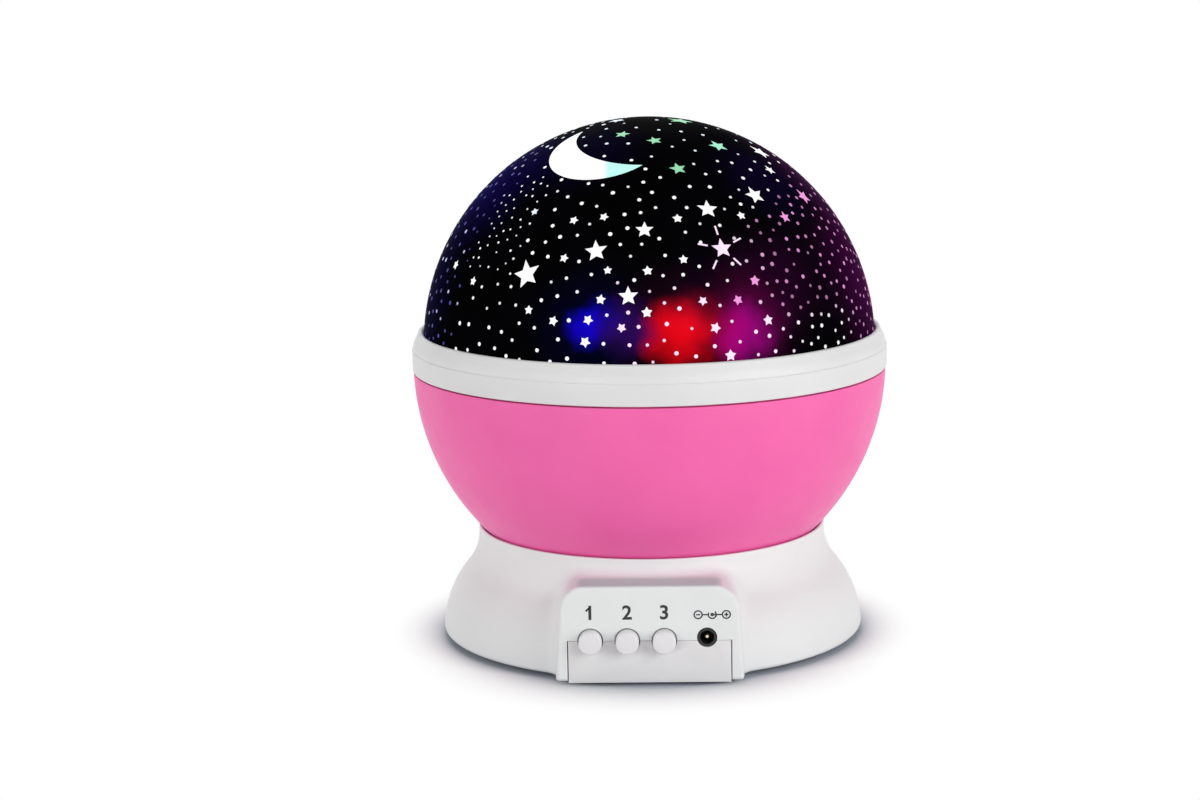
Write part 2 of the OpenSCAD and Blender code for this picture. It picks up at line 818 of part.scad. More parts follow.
module sphere_ring_section(r_out, r_in, z, low, high) {
    intersection() {
        difference() {
            translate([0, z]) circle(r = r_out);
            translate([0, z]) circle(r = r_in);
        }
        translate([0, low]) square([r_out + past, high - low]);
    }
}

module bowl() color(pink) {
    floor_top = bowl_z + bowl_wall;
    ledge_z = inner_deck_z - ledge_t;
    difference() {
        union() {
            rotate_extrude() {
                sphere_ring_section(bowl_r, bowl_r - bowl_wall, bowl_centre_z, bowl_z, seam_z);
                translate([0, bowl_z]) square([bowl_flat_r, bowl_wall]);
                translate([spigot_in_r - ledge_w, ledge_z]) square([ledge_w + spigot_wall, ledge_t]);
                translate([spigot_in_r, ledge_z])
                    square([bowl_r - bowl_wall - spigot_in_r + ledge_lap, seam_z - ledge_z]);
                translate([spigot_in_r, ledge_z]) square([spigot_wall, seam_z + spigot_h - ledge_z]);
            }
            rod(hub_r, bowl_z, bowl_z + hub_h);
            around(gear_screw_count, gear_screw_circle_r, gear_screw_start)
                rod(gear_boss_r, bowl_z, floor_top + boss_h);
            around(rib_count, 0) box_from([hub_r - 1, -rib_w / 2, bowl_z],
                [bowl_flat_r - rib_end_gap, rib_w / 2, floor_top + rib_h]);
            around(lug_count, 0, lug_start) rotate([0, 0, -lug_angle / 2]) rotate_extrude(angle = lug_angle)
                translate([spigot_r - lug_root, lug_z]) square([lug_out + lug_root, lug_h]);
        }
        rod(bore_r, bowl_z - past, bowl_z + hub_h + past);
        around(gear_screw_count, gear_screw_circle_r, gear_screw_start)
            rod(screw_r + fit_gap, bowl_z - past, floor_top + boss_h - 2 * blind_t);
    }
}

module inner_deck() color(white)
    tube(spigot_in_r - seat_gap, journal_r + inner_deck_hole_gap, inner_deck_z, inner_deck_z + inner_deck_t);

module star_dome() color("black") rotate_extrude() {
    sphere_ring_section(dome_r, dome_r - dome_wall, dome_z, dome_z, dome_z + dome_r + past);
    translate([dome_r - dome_wall, dome_z - dome_skirt_h]) square([dome_wall, dome_skirt_h]);
}

module dome_ring() color(white) {
    lip_r = sqrt(ring_in_r * ring_in_r - ring_shoulder_h * ring_shoulder_h);
    slot_r = lug_r + slot_gap;
    slot_angle = lug_angle + slot_spare_angle;
    slot_top = lug_z + lug_h + slot_over;
    difference() {
        rotate_extrude() difference() {
            polygon([
                [lip_r - lip_under, seam_z],
                [ring_r - ring_foot_w, seam_z],
                [ring_r, seam_z + ring_foot_h],
                [ring_r, dome_z - ring_crease_h / 2],
                [ring_r - ring_crease_w, dome_z + ring_crease_h / 2],
                for (s = shoulder) [ring_r - s[1], dome_z + ring_shoulder_h * s[0]],
                [lip_r + ring_lip_w + lip_edge_w, ring_top - lip_edge_h],
                [lip_r + ring_lip_w, ring_top],
                [lip_r - lip_under, ring_top]
            ]);
            translate([0, dome_z]) circle(r = ring_in_r);
            translate([0, seam_z - past]) square([ring_in_r, ring_band_h + past]);
        }
        around(lug_count, 0, lug_start) rotate([0, 0, -slot_angle / 2]) rotate_extrude(angle = slot_angle)
            translate([ring_in_r - lug_root, seam_z - past])
                square([slot_r - ring_in_r + lug_root, slot_top - seam_z + past]);
        around(lug_count, 0, lug_start) rotate([0, 0, slot_angle / 2 - 1]) rotate_extrude(angle = slot_turn)
            translate([ring_in_r - lug_root, lug_z - slot_under])
                square([slot_r - ring_in_r + lug_root, slot_top - lug_z + slot_under]);
    }
}

module dome_clamp() color(white) {
    top = dome_z - dome_skirt_h;
    tube(ring_in_r - fit_gap, dome_r - dome_wall - clamp_lap, top - clamp_h, top);
}

// ---------------------------------------------------------------- lamp

module lamp_post() color(white) difference() {
    flange_z = deck_under - post_flange_t;
    union() {
        rod(journal_r, deck_under - eps, holder_z);
        rod(flange_r, flange_z, deck_under);
    }
    rod(post_in_r, flange_z - past, holder_z + past);
    around(post_screw_count, post_screw_circle_r, post_screw_start)
        rod(screw_r + fit_gap, flange_z - past, deck_under + past);
    tube(journal_r + past, groove_r, clip_z - fit_gap, clip_z + clip_t + fit_gap);
    box_from([-lead_notch_w / 2, -flange_r - past, flange_z - past], [lead_notch_w / 2, 0, lead_notch_top]);
}

module post_screws() color(steel)
    around(post_screw_count, post_screw_circle_r, post_screw_start)
        screw(deck_under - post_flange_t, post_flange_t + deck_t - blind_t - screw_end_gap,
            screw_r, screw_head_r, screw_head_h);

module lamp_holder() color(white) {
    tube(holder_r, post_in_r - holder_sleeve_t, holder_z, holder_z + holder_t);
    tube(post_in_r - fit_gap, post_in_r - holder_sleeve_t, holder_z - holder_sleeve_l, holder_z + eps);
}

module lamp_board() color("white") rod(lamp_board_r, lamp_board_z, lamp_board_z + board_t);

module led(i) rotate([0, 0, led_start + i * led_step]) translate([led_circle_r, 0, 0]) {
    rod(led_r + led_flange_out, led_z, led_z + led_flange_h);
    rotate_extrude() {
        translate([0, led_z]) square([led_r, led_h - led_r]);
        intersection() {
            translate([0, led_z + led_h - led_r]) circle(r = led_r);
            translate([0, led_z + led_h - led_r - eps]) square(led_r + past);
        }
    }
}

module led_pink() color("orchid") led(0);
module led_green() color("limegreen") led(1);
module led_warm() color("oldlace") led(2);
module led_blue() color("royalblue") led(3);
module led_red() color("red") led(4);

// ---------------------------------------------------------------- cells

// The middle of a lane across the bay. The plus and minus ends take turns
function lane_x(i) = bay_mid_x - bay_w / 2 + (i + 0.5) * cell_pitch;

module contact_plates() color(steel) for (i = [0 : cell_count - 1]) {
    x = lane_x(i);
    for (y = [bay_front_y, bay_back_y - plate_t])
        box_from([x - plate_w / 2, y, cell_z - plate_h / 2],
            [x + plate_w / 2, y + plate_t, cell_z + plate_h / 2]);
    nub = i % 2 == 0 ? bay_back_y - plate_t - nub_out : bay_front_y + plate_t;
    rod_y(nub_r, x, cell_z, nub, nub + nub_out);
}

module cell_springs() color(steel) for (i = [0 : cell_count - 1]) {
    x = lane_x(i);
    seat = i % 2 == 0 ? bay_front_y + plate_t : bay_back_y - plate_t;
    along = i % 2 == 0 ? 1 : -1;
    path = [
        for (k = [0 : spring_turns * spring_steps])
            let (
                t = k / (spring_turns * spring_steps),
                r = spring_seat_r + t * (spring_tip_r - spring_seat_r),
                a = along * k * 360 / spring_steps,
                y = spring_wire_r + t * (spring_l - 2 * spring_wire_r)
            )
            [x + r * cos(a), seat + along * y, cell_z + r * sin(a)]
    ];
    sweep(path, spring_wire_r, 5, [0, 1, 0]);
}

module cell_door() color(white) translate([bay_mid_x, 0, 0]) {
    half = door_w / 2;
    difference() {
        union() {
            box_from([-half, door_front_y, base_z], [half, door_back_y, base_z + door_t]);
            translate([-half, door_back_y, hinge_z]) rotate([0, 90, 0]) cylinder(r = door_t / 2, h = door_w);
            box_from([-latch_w / 2, door_front_y - door_gap / 2, base_z + latch_step],
                [latch_w / 2, door_front_y + 1, base_z + door_t - latch_step]);
        }
        for (s = [-1, 1]) translate([s * (latch_w / 2 + latch_slot), 0, 0])
            box_from([-latch_slot / 2, door_front_y - past, base_z - past],
                [latch_slot / 2, door_front_y + latch_l, base_z + door_t + past]);
        translate([0, door_front_y + scoop_y, base_z - scoop_y]) rotate([0, 90, 0])
            cylinder(r = scoop_r, h = latch_w - 2, center = true);
    }
}

// ---------------------------------------------------------------- leads

// Straight out of the board's back at x and z, ready for the points of a route
function off_board(x, z) = [for (k = [0, 0.5, 1]) [x, board_back + k * lead_out, z]];

module lamp_lead() color("white") {
    under = deck_under - post_flange_t - lamp_lead_r - 0.15;
    route = through(concat(off_board(lamp_lead_x, under), [
        [-7, -34, under], [-4, -22, under], [-1, -12, under], [0, -6.5, under + 0.1],
        [0, -3.8, under + 1.2], [0, -2.2, under + 3.4], [0, -1, under + 7], [0, 0, under + 14],
        [0, 0, under + 28], [0, 0, under + 42], [0, 0, lamp_board_z]
    ]), 3);
    sweep(route, lamp_lead_r, lead_sides, [1, 0, 0]);
}

module motor_lead() color("firebrick") {
    route = through(concat(off_board(motor_lead_x, lead_z), [
        [20, -34, lead_z], [26.5, -22, lead_z], [32.5, -15, lead_z],
        for (k = [2, 1, 0]) [motor_x, -can_r - k * lead_out / 2, lead_z]
    ]), 3);
    sweep(route, lead_r, lead_sides, [0, 0, 1]);
}

module cell_lead() color("firebrick") {
    end_y = bay_front_y - bay_wall;
    route = through(concat(off_board(cell_lead_x, lead_z), [
        [-17.5, -34, lead_z],
        for (k = [2, 1, 0]) [-16.5, end_y - k * lead_out / 2, lead_z]
    ]), 3);
    sweep(route, lead_r, lead_sides, [0, 0, 1]);
}

base_shell();
bottom_cover();
rubber_feet();
cover_screws();
control_board();
switch_bodies();
dc_jack();
jack_pin();
gear_motor();
motor_screws();
lamp_post();
post_screws();
thrust_washer();
retaining_clip();
lamp_holder();
lamp_board();
led_warm();
led_blue();
led_red();
led_pink();
led_green();
contact_plates();
cell_springs();
lamp_lead();
motor_lead();
cell_lead();
bowl();
inner_deck();
globe_gear();
gear_screws();
star_dome();
dome_ring();
dome_clamp();
drive_pinion();
motor_shaft();
button_cap(0);  // button_cap_1
button_cap(1);  // button_cap_2
button_cap(2);  // button_cap_3
plunger(0);  // plunger_1
plunger(1);  // plunger_2
plunger(2);  // plunger_3
cell_door();
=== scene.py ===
# %% [markdown]
# # A star night light projector
# The real lamp is a ball that turns on a flared white base. Its lower half is a pink bowl, a
# white ring clips the two halves together, and the upper half is a clear dome that is printed
# black all over, except for small stars, dots and one moon that the light shines through.
#
# Everything that turns, slides or fits comes ready from the construction model. This lesson
# dresses it: it makes the smooth outer shells again with fine curves and soft edges, it prints
# the sky on the dome, and it gives every piece its finish.

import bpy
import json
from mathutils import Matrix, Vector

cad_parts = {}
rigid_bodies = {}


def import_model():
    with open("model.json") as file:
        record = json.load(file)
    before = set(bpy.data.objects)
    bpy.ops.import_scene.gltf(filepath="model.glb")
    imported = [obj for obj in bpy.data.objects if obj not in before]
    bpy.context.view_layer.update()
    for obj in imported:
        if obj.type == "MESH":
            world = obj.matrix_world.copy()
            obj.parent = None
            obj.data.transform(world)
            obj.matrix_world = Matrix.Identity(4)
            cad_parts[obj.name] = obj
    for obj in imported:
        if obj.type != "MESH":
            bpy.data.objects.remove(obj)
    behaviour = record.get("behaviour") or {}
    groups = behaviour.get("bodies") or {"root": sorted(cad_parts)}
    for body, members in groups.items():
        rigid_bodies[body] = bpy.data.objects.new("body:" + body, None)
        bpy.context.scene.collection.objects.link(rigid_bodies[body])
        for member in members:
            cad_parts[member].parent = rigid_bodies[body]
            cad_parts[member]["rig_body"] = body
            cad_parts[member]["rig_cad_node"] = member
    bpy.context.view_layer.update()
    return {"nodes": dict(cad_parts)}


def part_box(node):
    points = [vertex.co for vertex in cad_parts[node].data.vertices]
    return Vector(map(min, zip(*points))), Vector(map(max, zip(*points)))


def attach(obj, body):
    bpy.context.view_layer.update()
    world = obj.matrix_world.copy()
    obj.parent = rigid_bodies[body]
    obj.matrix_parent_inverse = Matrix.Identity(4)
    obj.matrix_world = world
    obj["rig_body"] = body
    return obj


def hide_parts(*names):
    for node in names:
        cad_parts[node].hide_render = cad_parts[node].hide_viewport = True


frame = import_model()

# %% The tools of this lesson
import json
import math
import random

import bpy
import numpy as np
from mathutils import Matrix, Vector

# %% [markdown]
# ## Sizes
# Blender works in metres, and this lamp is small, so all sizes here are written in
# millimetres and multiplied by MM when they reach Blender. The main levels and radii could be
# typed in, but they are read off the construction model, so the new shells land exactly where
# the old ones were.

# %% Read the main sizes
MM = 0.001


def corners(node):
    """Lowest and highest corner of a construction piece, in millimetres."""
    low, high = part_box(node)
    return low / MM, high / MM


dome_high = corners("star_dome")[1]
ring_low, ring_high = corners("dome_ring")
bowl_low, bowl_high = corners("bowl")
shell_low, shell_high = corners("base_shell")
dome_r, dome_z = dome_high.x, dome_high.z - dome_high.x
ring_r, seam_z, ring_top = ring_high.x, ring_low.z, ring_high.z
bowl_r, bowl_z, spigot_top = bowl_high.x, bowl_low.z, bowl_high.z
bowl_flat_r = 40
bowl_centre_z = bowl_z + math.sqrt(bowl_r ** 2 - bowl_flat_r ** 2)
skirt_r, panel_out = shell_high.x, -shell_low.y
base_z, collar_top = shell_low.z, shell_high.z
print("dome radius", round(dome_r, 2), "over z", round(dome_z, 2), "and skirt radius", round(skirt_r, 2))

# %% [markdown]
# ## Camera
# The camera looks slightly down at the front of the lamp, with a long lens, because a short
# one would stretch the ball. It is rolled by less than a degree, and its shift puts the lamp
# right of the middle of the frame. It could be aimed with a constraint, but plain angles keep
# the small roll exact.

# %% Place the camera
camera_distance = 700
camera_height = 192.7
camera_side = math.radians(0.9)
camera_pitch = math.radians(10.6)
camera_roll = math.radians(-0.74)
bpy.ops.object.camera_add()
camera = bpy.context.object
camera.name = "camera"
camera.data.lens = 80.5
camera.data.sensor_width = 36
camera.data.shift_x = -0.0417
camera.data.clip_start = 0.01
turn = (
    Matrix.Rotation(camera_side, 4, "Z")
    @ Matrix.Rotation(math.pi / 2 - camera_pitch, 4, "X")
    @ Matrix.Rotation(camera_roll, 4, "Z")
)
camera.rotation_euler = turn.to_euler()
camera.location = Vector((
    camera_distance * math.sin(camera_side),
    -camera_distance * math.cos(camera_side),
    camera_height,
)) * MM
bpy.context.scene.camera = camera
bpy.context.scene.view_settings.view_transform = "Standard"
print("camera at", [round(v, 3) for v in camera.location])

# %% [markdown]
# ## Nodes, in code
# Light and finishes are nets of nodes. By hand a node is added, its sockets are filled in, and
# wires are drawn between them. The helpers below do the same, so that a net can be read from
# its inputs to its outputs.

# %% Helpers for nodes
def wire(tree, node, values):
    """Fill a node's sockets, each with a plain value or with a wire from another's output."""
    for socket, value in values.items():
        if isinstance(value, bpy.types.NodeSocket):
            tree.links.new(value, node.inputs[socket])
        else:
            node.inputs[socket].default_value = value
    return node


def add_node(tree, kind, values=(), **settings):
    node = tree.nodes.new(kind)
    for setting, value in settings.items():
        setattr(node, setting, value)
    return wire(tree, node, dict(values))


def calc(tree, operation, first, second):
    return add_node(tree, "ShaderNodeMath", {0: first, 1: second}, operation=operation).outputs["Value"]


def mixed(tree, factor, first, second, kind="MIX"):
    """Two colours mixed by a factor."""
    values = {"Fac": factor, "Color1": first, "Color2": second}
    return add_node(tree, "ShaderNodeMixRGB", values, blend_type=kind).outputs["Color"]


def two_tones(tree, factor, first, second, start=0.3, end=0.7):
    """A colour that runs from first to second while the factor goes from start to end."""
    ramp = add_node(tree, "ShaderNodeValToRGB", {"Fac": factor})
    for stop, colour, position in zip(ramp.color_ramp.elements, (first, second), (start, end)):
        stop.color = (*colour, 1)
        stop.position = position
    return ramp.outputs["Color"]


def ranged(tree, source, low, high, start=0.3, end=0.7, kind="LINEAR"):
    """A value that goes from low to high while its source goes from start to end."""
    values = {"Value": source, "From Min": start, "From Max": end, "To Min": low, "To Max": high}
    return add_node(tree, "ShaderNodeMapRange", values, interpolation_type=kind).outputs["Result"]


# %% Helpers for places in a piece's own space
def own_space(tree, kind="Object"):
    return add_node(tree, "ShaderNodeTexCoord").outputs[kind]


def axes_of(tree, place):
    return add_node(tree, "ShaderNodeSeparateXYZ", {"Vector": place}).outputs


def fade(tree, place, spot, start, end):
    """0 at a distance of start from a spot and 1 at a distance of end, all in millimetres."""
    away = add_node(tree, "ShaderNodeVectorMath", {0: place, 1: Vector(spot) * MM}, operation="DISTANCE")
    return ranged(tree, away.outputs["Value"], 0, 1, start * MM, end * MM, "SMOOTHSTEP")


def noise(tree, scale, detail=3, output="Fac"):
    """A noise texture with features of about 1/scale metres."""
    values = {"Vector": own_space(tree), "Scale": scale, "Detail": detail, "Roughness": 0.5}
    return add_node(tree, "ShaderNodeTexNoise", values).outputs[output]


# %% [markdown]
# ## Light and floor
# A studio lights white plastic with large soft lamps, so that it keeps a gentle shade and no
# hard shadow falls. Sun lamps would be simpler, but their shadows are hard. Four area lamps
# and a grey world do that here. The background is white only where the camera sees it,
# straight or in a reflection: a Light Path node tells those rays from the others.

# %% Light from all round
def shown_rays(tree):
    """1 for what the camera sees: straight, in gloss or through clear plastic. Else 0."""
    rays = add_node(tree, "ShaderNodeLightPath").outputs
    direct = calc(tree, "MAXIMUM", rays["Is Camera Ray"], rays["Is Glossy Ray"])
    return calc(tree, "MAXIMUM", direct, rays["Is Transmission Ray"])


world = bpy.data.worlds.new("studio")
bpy.context.scene.world = world
world.use_nodes = True
tree = world.node_tree
height = axes_of(tree, own_space(tree, "Generated"))["Z"]
darker_above = two_tones(tree, height, (1.0, 1.0, 1.0), (0.5, 0.51, 0.53), 0.15, 0.85)
fill_light = wire(tree, tree.nodes["Background"], {"Strength": 0.45, "Color": darker_above})
backdrop = add_node(tree, "ShaderNodeBackground", {"Color": (1, 1, 1, 1), "Strength": 1})
chosen = add_node(tree, "ShaderNodeMixShader", {
    "Fac": shown_rays(tree), 1: fill_light.outputs["Background"], 2: backdrop.outputs["Background"]})
wire(tree, tree.nodes["World Output"], {"Surface": chosen.outputs["Shader"]})
print("a world of", len(tree.nodes), "nodes")


# %% Soft lamps
def soft_lamp(name, place, target_z, size, watts):
    """A square area lamp at place, aimed at a height on the lamp's axis, in millimetres."""
    bpy.ops.object.light_add(type="AREA", location=Vector(place) * MM)
    lamp = bpy.context.object
    lamp.name = name
    lamp.data.size = size * MM
    lamp.data.energy = watts
    aim = Vector((0, 0, target_z)) - Vector(place)
    lamp.rotation_euler = aim.to_track_quat("-Z", "Y").to_euler()


soft_lamp("key", (970, -770, 460), 60, 820, 8.9)
soft_lamp("fill", (-1040, -340, 460), 40, 820, 3.1)
soft_lamp("low", (-560, -960, 190), 40, 360, 1.55)
soft_lamp("back", (-150, 900, 800), 70, 600, 3.5)
print("four soft lamps")


# %% The floor
def new_finish(name):
    """A new material. Returns it with its net of nodes."""
    material = bpy.data.materials.new(name)
    material.use_nodes = True
    return material, material.node_tree


def shader_of(material):
    return material.node_tree.nodes["Principled BSDF"]


floor_size = 16000
bpy.ops.mesh.primitive_plane_add(size=floor_size * MM)
floor = bpy.context.object
floor.name = "floor"
floor_paint_and_shadow, tree = new_finish("floor_paint_and_shadow")
place = own_space(tree)
# Painted shadow: close round the skirt and the control box the floor's paint is a darker blue-grey, which
# deepens the real shadow there. Further out it fades to pale paint and, for the camera, to white.
skirt_shadow_fade = fade(tree, place, (0, 0, 0), 55.5, 71)
panel_shadow_fade = fade(tree, place, (0, -17, 0), 41, 66)
away = calc(tree, "POWER", calc(tree, "MINIMUM", skirt_shadow_fade, panel_shadow_fade), 0.5)
paint = wire(tree, shader_of(floor_paint_and_shadow), {
    "Base Color": mixed(tree, away, (0.47, 0.5, 0.56, 1), (0.9, 0.9, 0.9, 1)),
    "Roughness": 0.6, "Specular IOR Level": 0.2})
white_light = add_node(tree, "ShaderNodeEmission")
blended = add_node(tree, "ShaderNodeMixShader", {
    "Fac": calc(tree, "MULTIPLY", away, shown_rays(tree)),
    1: paint.outputs["BSDF"], 2: white_light.outputs["Emission"]})
wire(tree, tree.nodes["Material Output"], {"Surface": blended.outputs["Shader"]})
floor.data.materials.append(floor_paint_and_shadow)
print("a floor of", floor_size / 1000, "m")

# %% [markdown]
# ## Working by hand, in code
# Each piece is made the way a modeller makes it: add a primitive, go into edit mode, extrude,
# spin, bevel. An operator acts on whatever is selected, so small helpers first clear the
# selection and pick one object.

# %% Selection helpers
def pick(piece):
    """Select one object alone, in object mode."""
    if bpy.context.object and bpy.context.object.mode != "OBJECT":
        bpy.ops.object.mode_set(mode="OBJECT")
    bpy.ops.object.select_all(action="DESELECT")
    piece.select_set(True)
    bpy.context.view_layer.objects.active = piece
    return piece


def settle(piece):
    """Put a piece's place, turn and scale into its mesh."""
    pick(piece)
    bpy.ops.object.transform_apply(location=True, rotation=True, scale=True)
    return piece


def moved(piece, x, y, z):
    """Move a piece to a place in millimetres, and put that into its mesh."""
    piece.location = Vector((x, y, z)) * MM
    return settle(piece)


def joined(pieces, name):
    """Several pieces made one."""
    pick(pieces[0])
    for piece in pieces:
        piece.select_set(True)
    bpy.ops.object.join()
    pieces[0].name = name
    return pieces[0]


def smooth(piece, angle=32):
    pick(piece)
    bpy.ops.object.shade_smooth_by_angle(angle=math.radians(angle))
    return piece


def round_edges(piece, width, segments=2, **settings):
    """Round a piece's edges with a bevel, its width in millimetres."""
    pick(piece)
    bevel = piece.modifiers.new("edge", "BEVEL")
    bevel.width = width * MM
    bevel.segments = segments
    for setting, value in settings.items():
        setattr(bevel, setting, value)
    bpy.ops.object.modifier_apply(modifier=bevel.name)
    return piece


# %% Helpers for the mesh in edit mode
merge_gap = 0.002


def edit_all():
    """Go into edit mode with the whole mesh selected."""
    bpy.ops.object.mode_set(mode="EDIT")
    bpy.ops.mesh.select_all(action="SELECT")


def merge_points():
    bpy.ops.mesh.select_all(action="SELECT")
    bpy.ops.mesh.remove_doubles(threshold=merge_gap * MM)


def close_outwards():
    """Turn all faces outwards and leave edit mode."""
    bpy.ops.mesh.select_all(action="SELECT")
    bpy.ops.mesh.normals_make_consistent(inside=False)
    bpy.ops.object.mode_set(mode="OBJECT")


# %% [markdown]
# Most of the lamp is round, and round plastic is turned from its section: the outline of one
# half, drawn point by point and spun about the upright axis. A stack of cylinders would be
# quicker, but it has no fine radii. The helper starts from a plane primitive, merges it to
# one point and extrudes that point along the outline.

# %% Draw an outline
def arc(cx, cz, r, start, end, steps):
    """Points on a circle about (cx, cz), with angles in degrees from +X."""
    angles = [math.radians(start + (end - start) * k / steps) for k in range(steps + 1)]
    return [(cx + r * math.cos(a), cz + r * math.sin(a)) for a in angles]


def draw_outline(name, outline):
    """One chain of edges through points (x, z), in millimetres. It stays in edit mode."""
    bpy.ops.object.select_all(action="DESELECT")
    bpy.ops.mesh.primitive_plane_add(size=MM)
    piece = bpy.context.object
    piece.name = name
    edit_all()
    bpy.ops.mesh.merge(type="CENTER")
    before = (0, 0)
    for k, (x, z) in enumerate(outline):
        step = ((x - before[0]) * MM, 0, (z - before[1]) * MM)
        if k == 0:
            bpy.ops.transform.translate(value=step)
        else:
            bpy.ops.mesh.extrude_region_move(TRANSFORM_OT_translate={"value": step})
        before = (x, z)
    return piece


# %% Turn a section into a round piece, or into part of one
def turned(name, outline, steps=192):
    """A round piece: the outline is spun about the upright axis. Off the axis it is closed."""
    if outline[0] != outline[-1] and outline[0][0] > 0:
        outline = outline + [outline[0]]
    piece = draw_outline(name, outline)
    bpy.ops.mesh.select_all(action="SELECT")
    bpy.ops.mesh.spin(steps=steps, angle=2 * math.pi, center=(0, 0, 0), axis=(0, 0, 1))
    merge_points()
    close_outwards()
    return piece


def wedge(name, outline, start, sweep, steps=8):
    """Part of a turn, from start to start + sweep degrees, with both ends closed."""
    piece = draw_outline(name, outline + [outline[0]])
    merge_points()
    bpy.ops.mesh.edge_face_add()
    bpy.ops.mesh.spin(steps=steps, angle=math.radians(sweep), center=(0, 0, 0), axis=(0, 0, 1))
    close_outwards()
    piece.rotation_euler.z = math.radians(start)
    return settle(piece)


# %% Blocks and bars, mostly to cut with
def block(name, low, high):
    """A box between two corners, in millimetres."""
    bpy.ops.object.select_all(action="DESELECT")
    bpy.ops.mesh.primitive_cube_add(size=1, location=(Vector(low) + Vector(high)) / 2 * MM)
    piece = bpy.context.object
    piece.name = name
    piece.scale = (Vector(high) - Vector(low)) * MM
    return settle(piece)


def bar(name, r, middle, length, steps, turn=(0, 0, 0)):
    """A round bar about its middle, in millimetres, upright unless it is turned."""
    bpy.ops.object.select_all(action="DESELECT")
    bpy.ops.mesh.primitive_cylinder_add(
        vertices=steps, radius=r * MM, depth=length * MM, location=Vector(middle) * MM, rotation=turn)
    bpy.context.object.name = name
    return settle(bpy.context.object)


def combine(piece, others, kind="DIFFERENCE"):
    """Cut others out of piece, or join them on, and delete them."""
    for other in others:
        pick(piece)
        modifier = piece.modifiers.new(other.name, "BOOLEAN")
        modifier.operation = kind
        modifier.solver = "EXACT"
        modifier.object = other
        bpy.ops.object.modifier_apply(modifier=modifier.name)
        bpy.data.objects.remove(other)
    return piece


# %% Dress a piece
def finished(piece, body, slot, material, *replaced):
    """Dress a piece, say what it rides on, and hide the construction pieces it stands for."""
    piece.data.materials.clear()
    piece.data.materials.append(material)
    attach(piece, body)
    if replaced:
        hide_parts(*replaced)
    print(piece.name, len(piece.data.polygons), "faces on", body)


# %% [markdown]
# ## Finishes
# Moulded plastic is never one flat colour. It has a faint orange-peel surface from the mould,
# a slightly cloudy colour and patches that are a little shinier where hands have been. An
# image could hold all this, but three noise textures never run out or stretch. They read
# Object coordinates, so they stay with the piece.

# %% A helper for moulded finishes
cloud_scale = 60


def moulded(name, first, second, shine=(0.28, 0.36), grain=900, bump=0.02):
    """Plastic from a mould: two close tones, patches of shine and a fine surface grain."""
    material, tree = new_finish(name)
    relief = add_node(tree, "ShaderNodeBump", {
        "Height": noise(tree, grain, 4), "Strength": bump, "Distance": 0.1 * MM})
    wire(tree, shader_of(material), {
        "Base Color": two_tones(tree, noise(tree, cloud_scale), first, second),
        "Roughness": ranged(tree, noise(tree, 3 * cloud_scale), *shine),
        "Normal": relief.outputs["Normal"]})
    return material


# %% Plastic finishes
white_plastic = moulded("white_plastic", (0.755, 0.755, 0.752), (0.78, 0.78, 0.777), (0.4, 0.48))
base_plastic = moulded("base_plastic", (0.8, 0.825, 0.815), (0.825, 0.85, 0.84), (0.44, 0.52))
pink_plastic = moulded("pink_plastic", (0.915, 0.122, 0.41), (0.945, 0.134, 0.43), (0.42, 0.52), 1200, 0.04)
cap_plastic = moulded("cap_plastic", (0.78, 0.785, 0.79), (0.81, 0.81, 0.815), (0.24, 0.32))
deck_plastic = moulded("deck_plastic", (0.82, 0.82, 0.82), (0.86, 0.86, 0.855), (0.45, 0.55))
acetal = moulded("natural_acetal", (0.74, 0.72, 0.66), (0.79, 0.77, 0.71), (0.3, 0.42))
black_plastic = moulded("black_plastic_finish", (0.004, 0.004, 0.005), (0.008, 0.008, 0.009), (0.42, 0.55))
rubber = moulded("rubber", (0.05, 0.05, 0.052), (0.075, 0.075, 0.078), (0.7, 0.85), 1500, 0.25)
print("eight plastics")

# %% [markdown]
# The narrow ledge above the buttons lies in the bowl's shade. Its colour is darkened and made greyer
# here as a painted shade, and its cool cast is painted to cancel the pink light that the bowl throws on
# it. It could be a piece of its own, but the real base is one moulding, so the painted shade is mixed in
# by place: only what lies high enough and far enough forward gets it.

# %% The ledge's painted shade
tree = base_plastic.node_tree
shader = shader_of(base_plastic)
plain_tone = shader.inputs["Base Color"].links[0].from_socket
axes = axes_of(tree, own_space(tree))
high_enough = ranged(tree, axes["Z"], 0, 1, 25.1 * MM, 25.55 * MM)
forward = ranged(tree, axes["Y"], 1, 0, -50.5 * MM, -47 * MM)
ledge_painted_shade = calc(tree, "MULTIPLY", high_enough, forward)
# Painted shade: the ledge is mixed towards a darker, cooler grey where the bowl shades it.
wire(tree, shader, {
    "Base Color": mixed(tree, ledge_painted_shade, plain_tone, (0.5, 0.65, 0.62, 1)), "Specular IOR Level": 0.3})
print("the base's finish has", len(tree.nodes), "nodes")

# %% [markdown]
# ## The bowl
# The pink bowl is a thin ball shell with a flat bottom. Above its edge stands a spigot that the
# white ring hides, with three lugs that the ring turns on to. A squashed ball primitive would
# give the outside alone, so the whole section is drawn and turned. The thin dark line between
# bowl and ring is a small step in the bowl's edge: it is modelled, not painted.

# %% The bowl's sizes
bowl_wall = 2
bowl_bore_r, hub_r, hub_h, flat_step = 5.05, 8, 11, 8
spigot_r, spigot_in_r, spigot_edge = 59.3, 57.8, 0.4
rim_in_r, rim_top, rim_t = 56, seam_z - 1.2, 1.4
step_h, step_in = 0.42, 1.6
seam_gap = 0.02
lug_count, lug_first = 3, 30
lug_out, lug_sunk, lug_h, lug_angle, lug_edge = 1.3, 0.5, 1.6, 12, 0.3
lug_low = seam_z + 0.8
lug_high = lug_low + lug_h


def ball_angle(r, centre_z, z):
    """The angle at which a ball's outline passes the height z."""
    return math.degrees(math.asin((z - centre_z) / r))


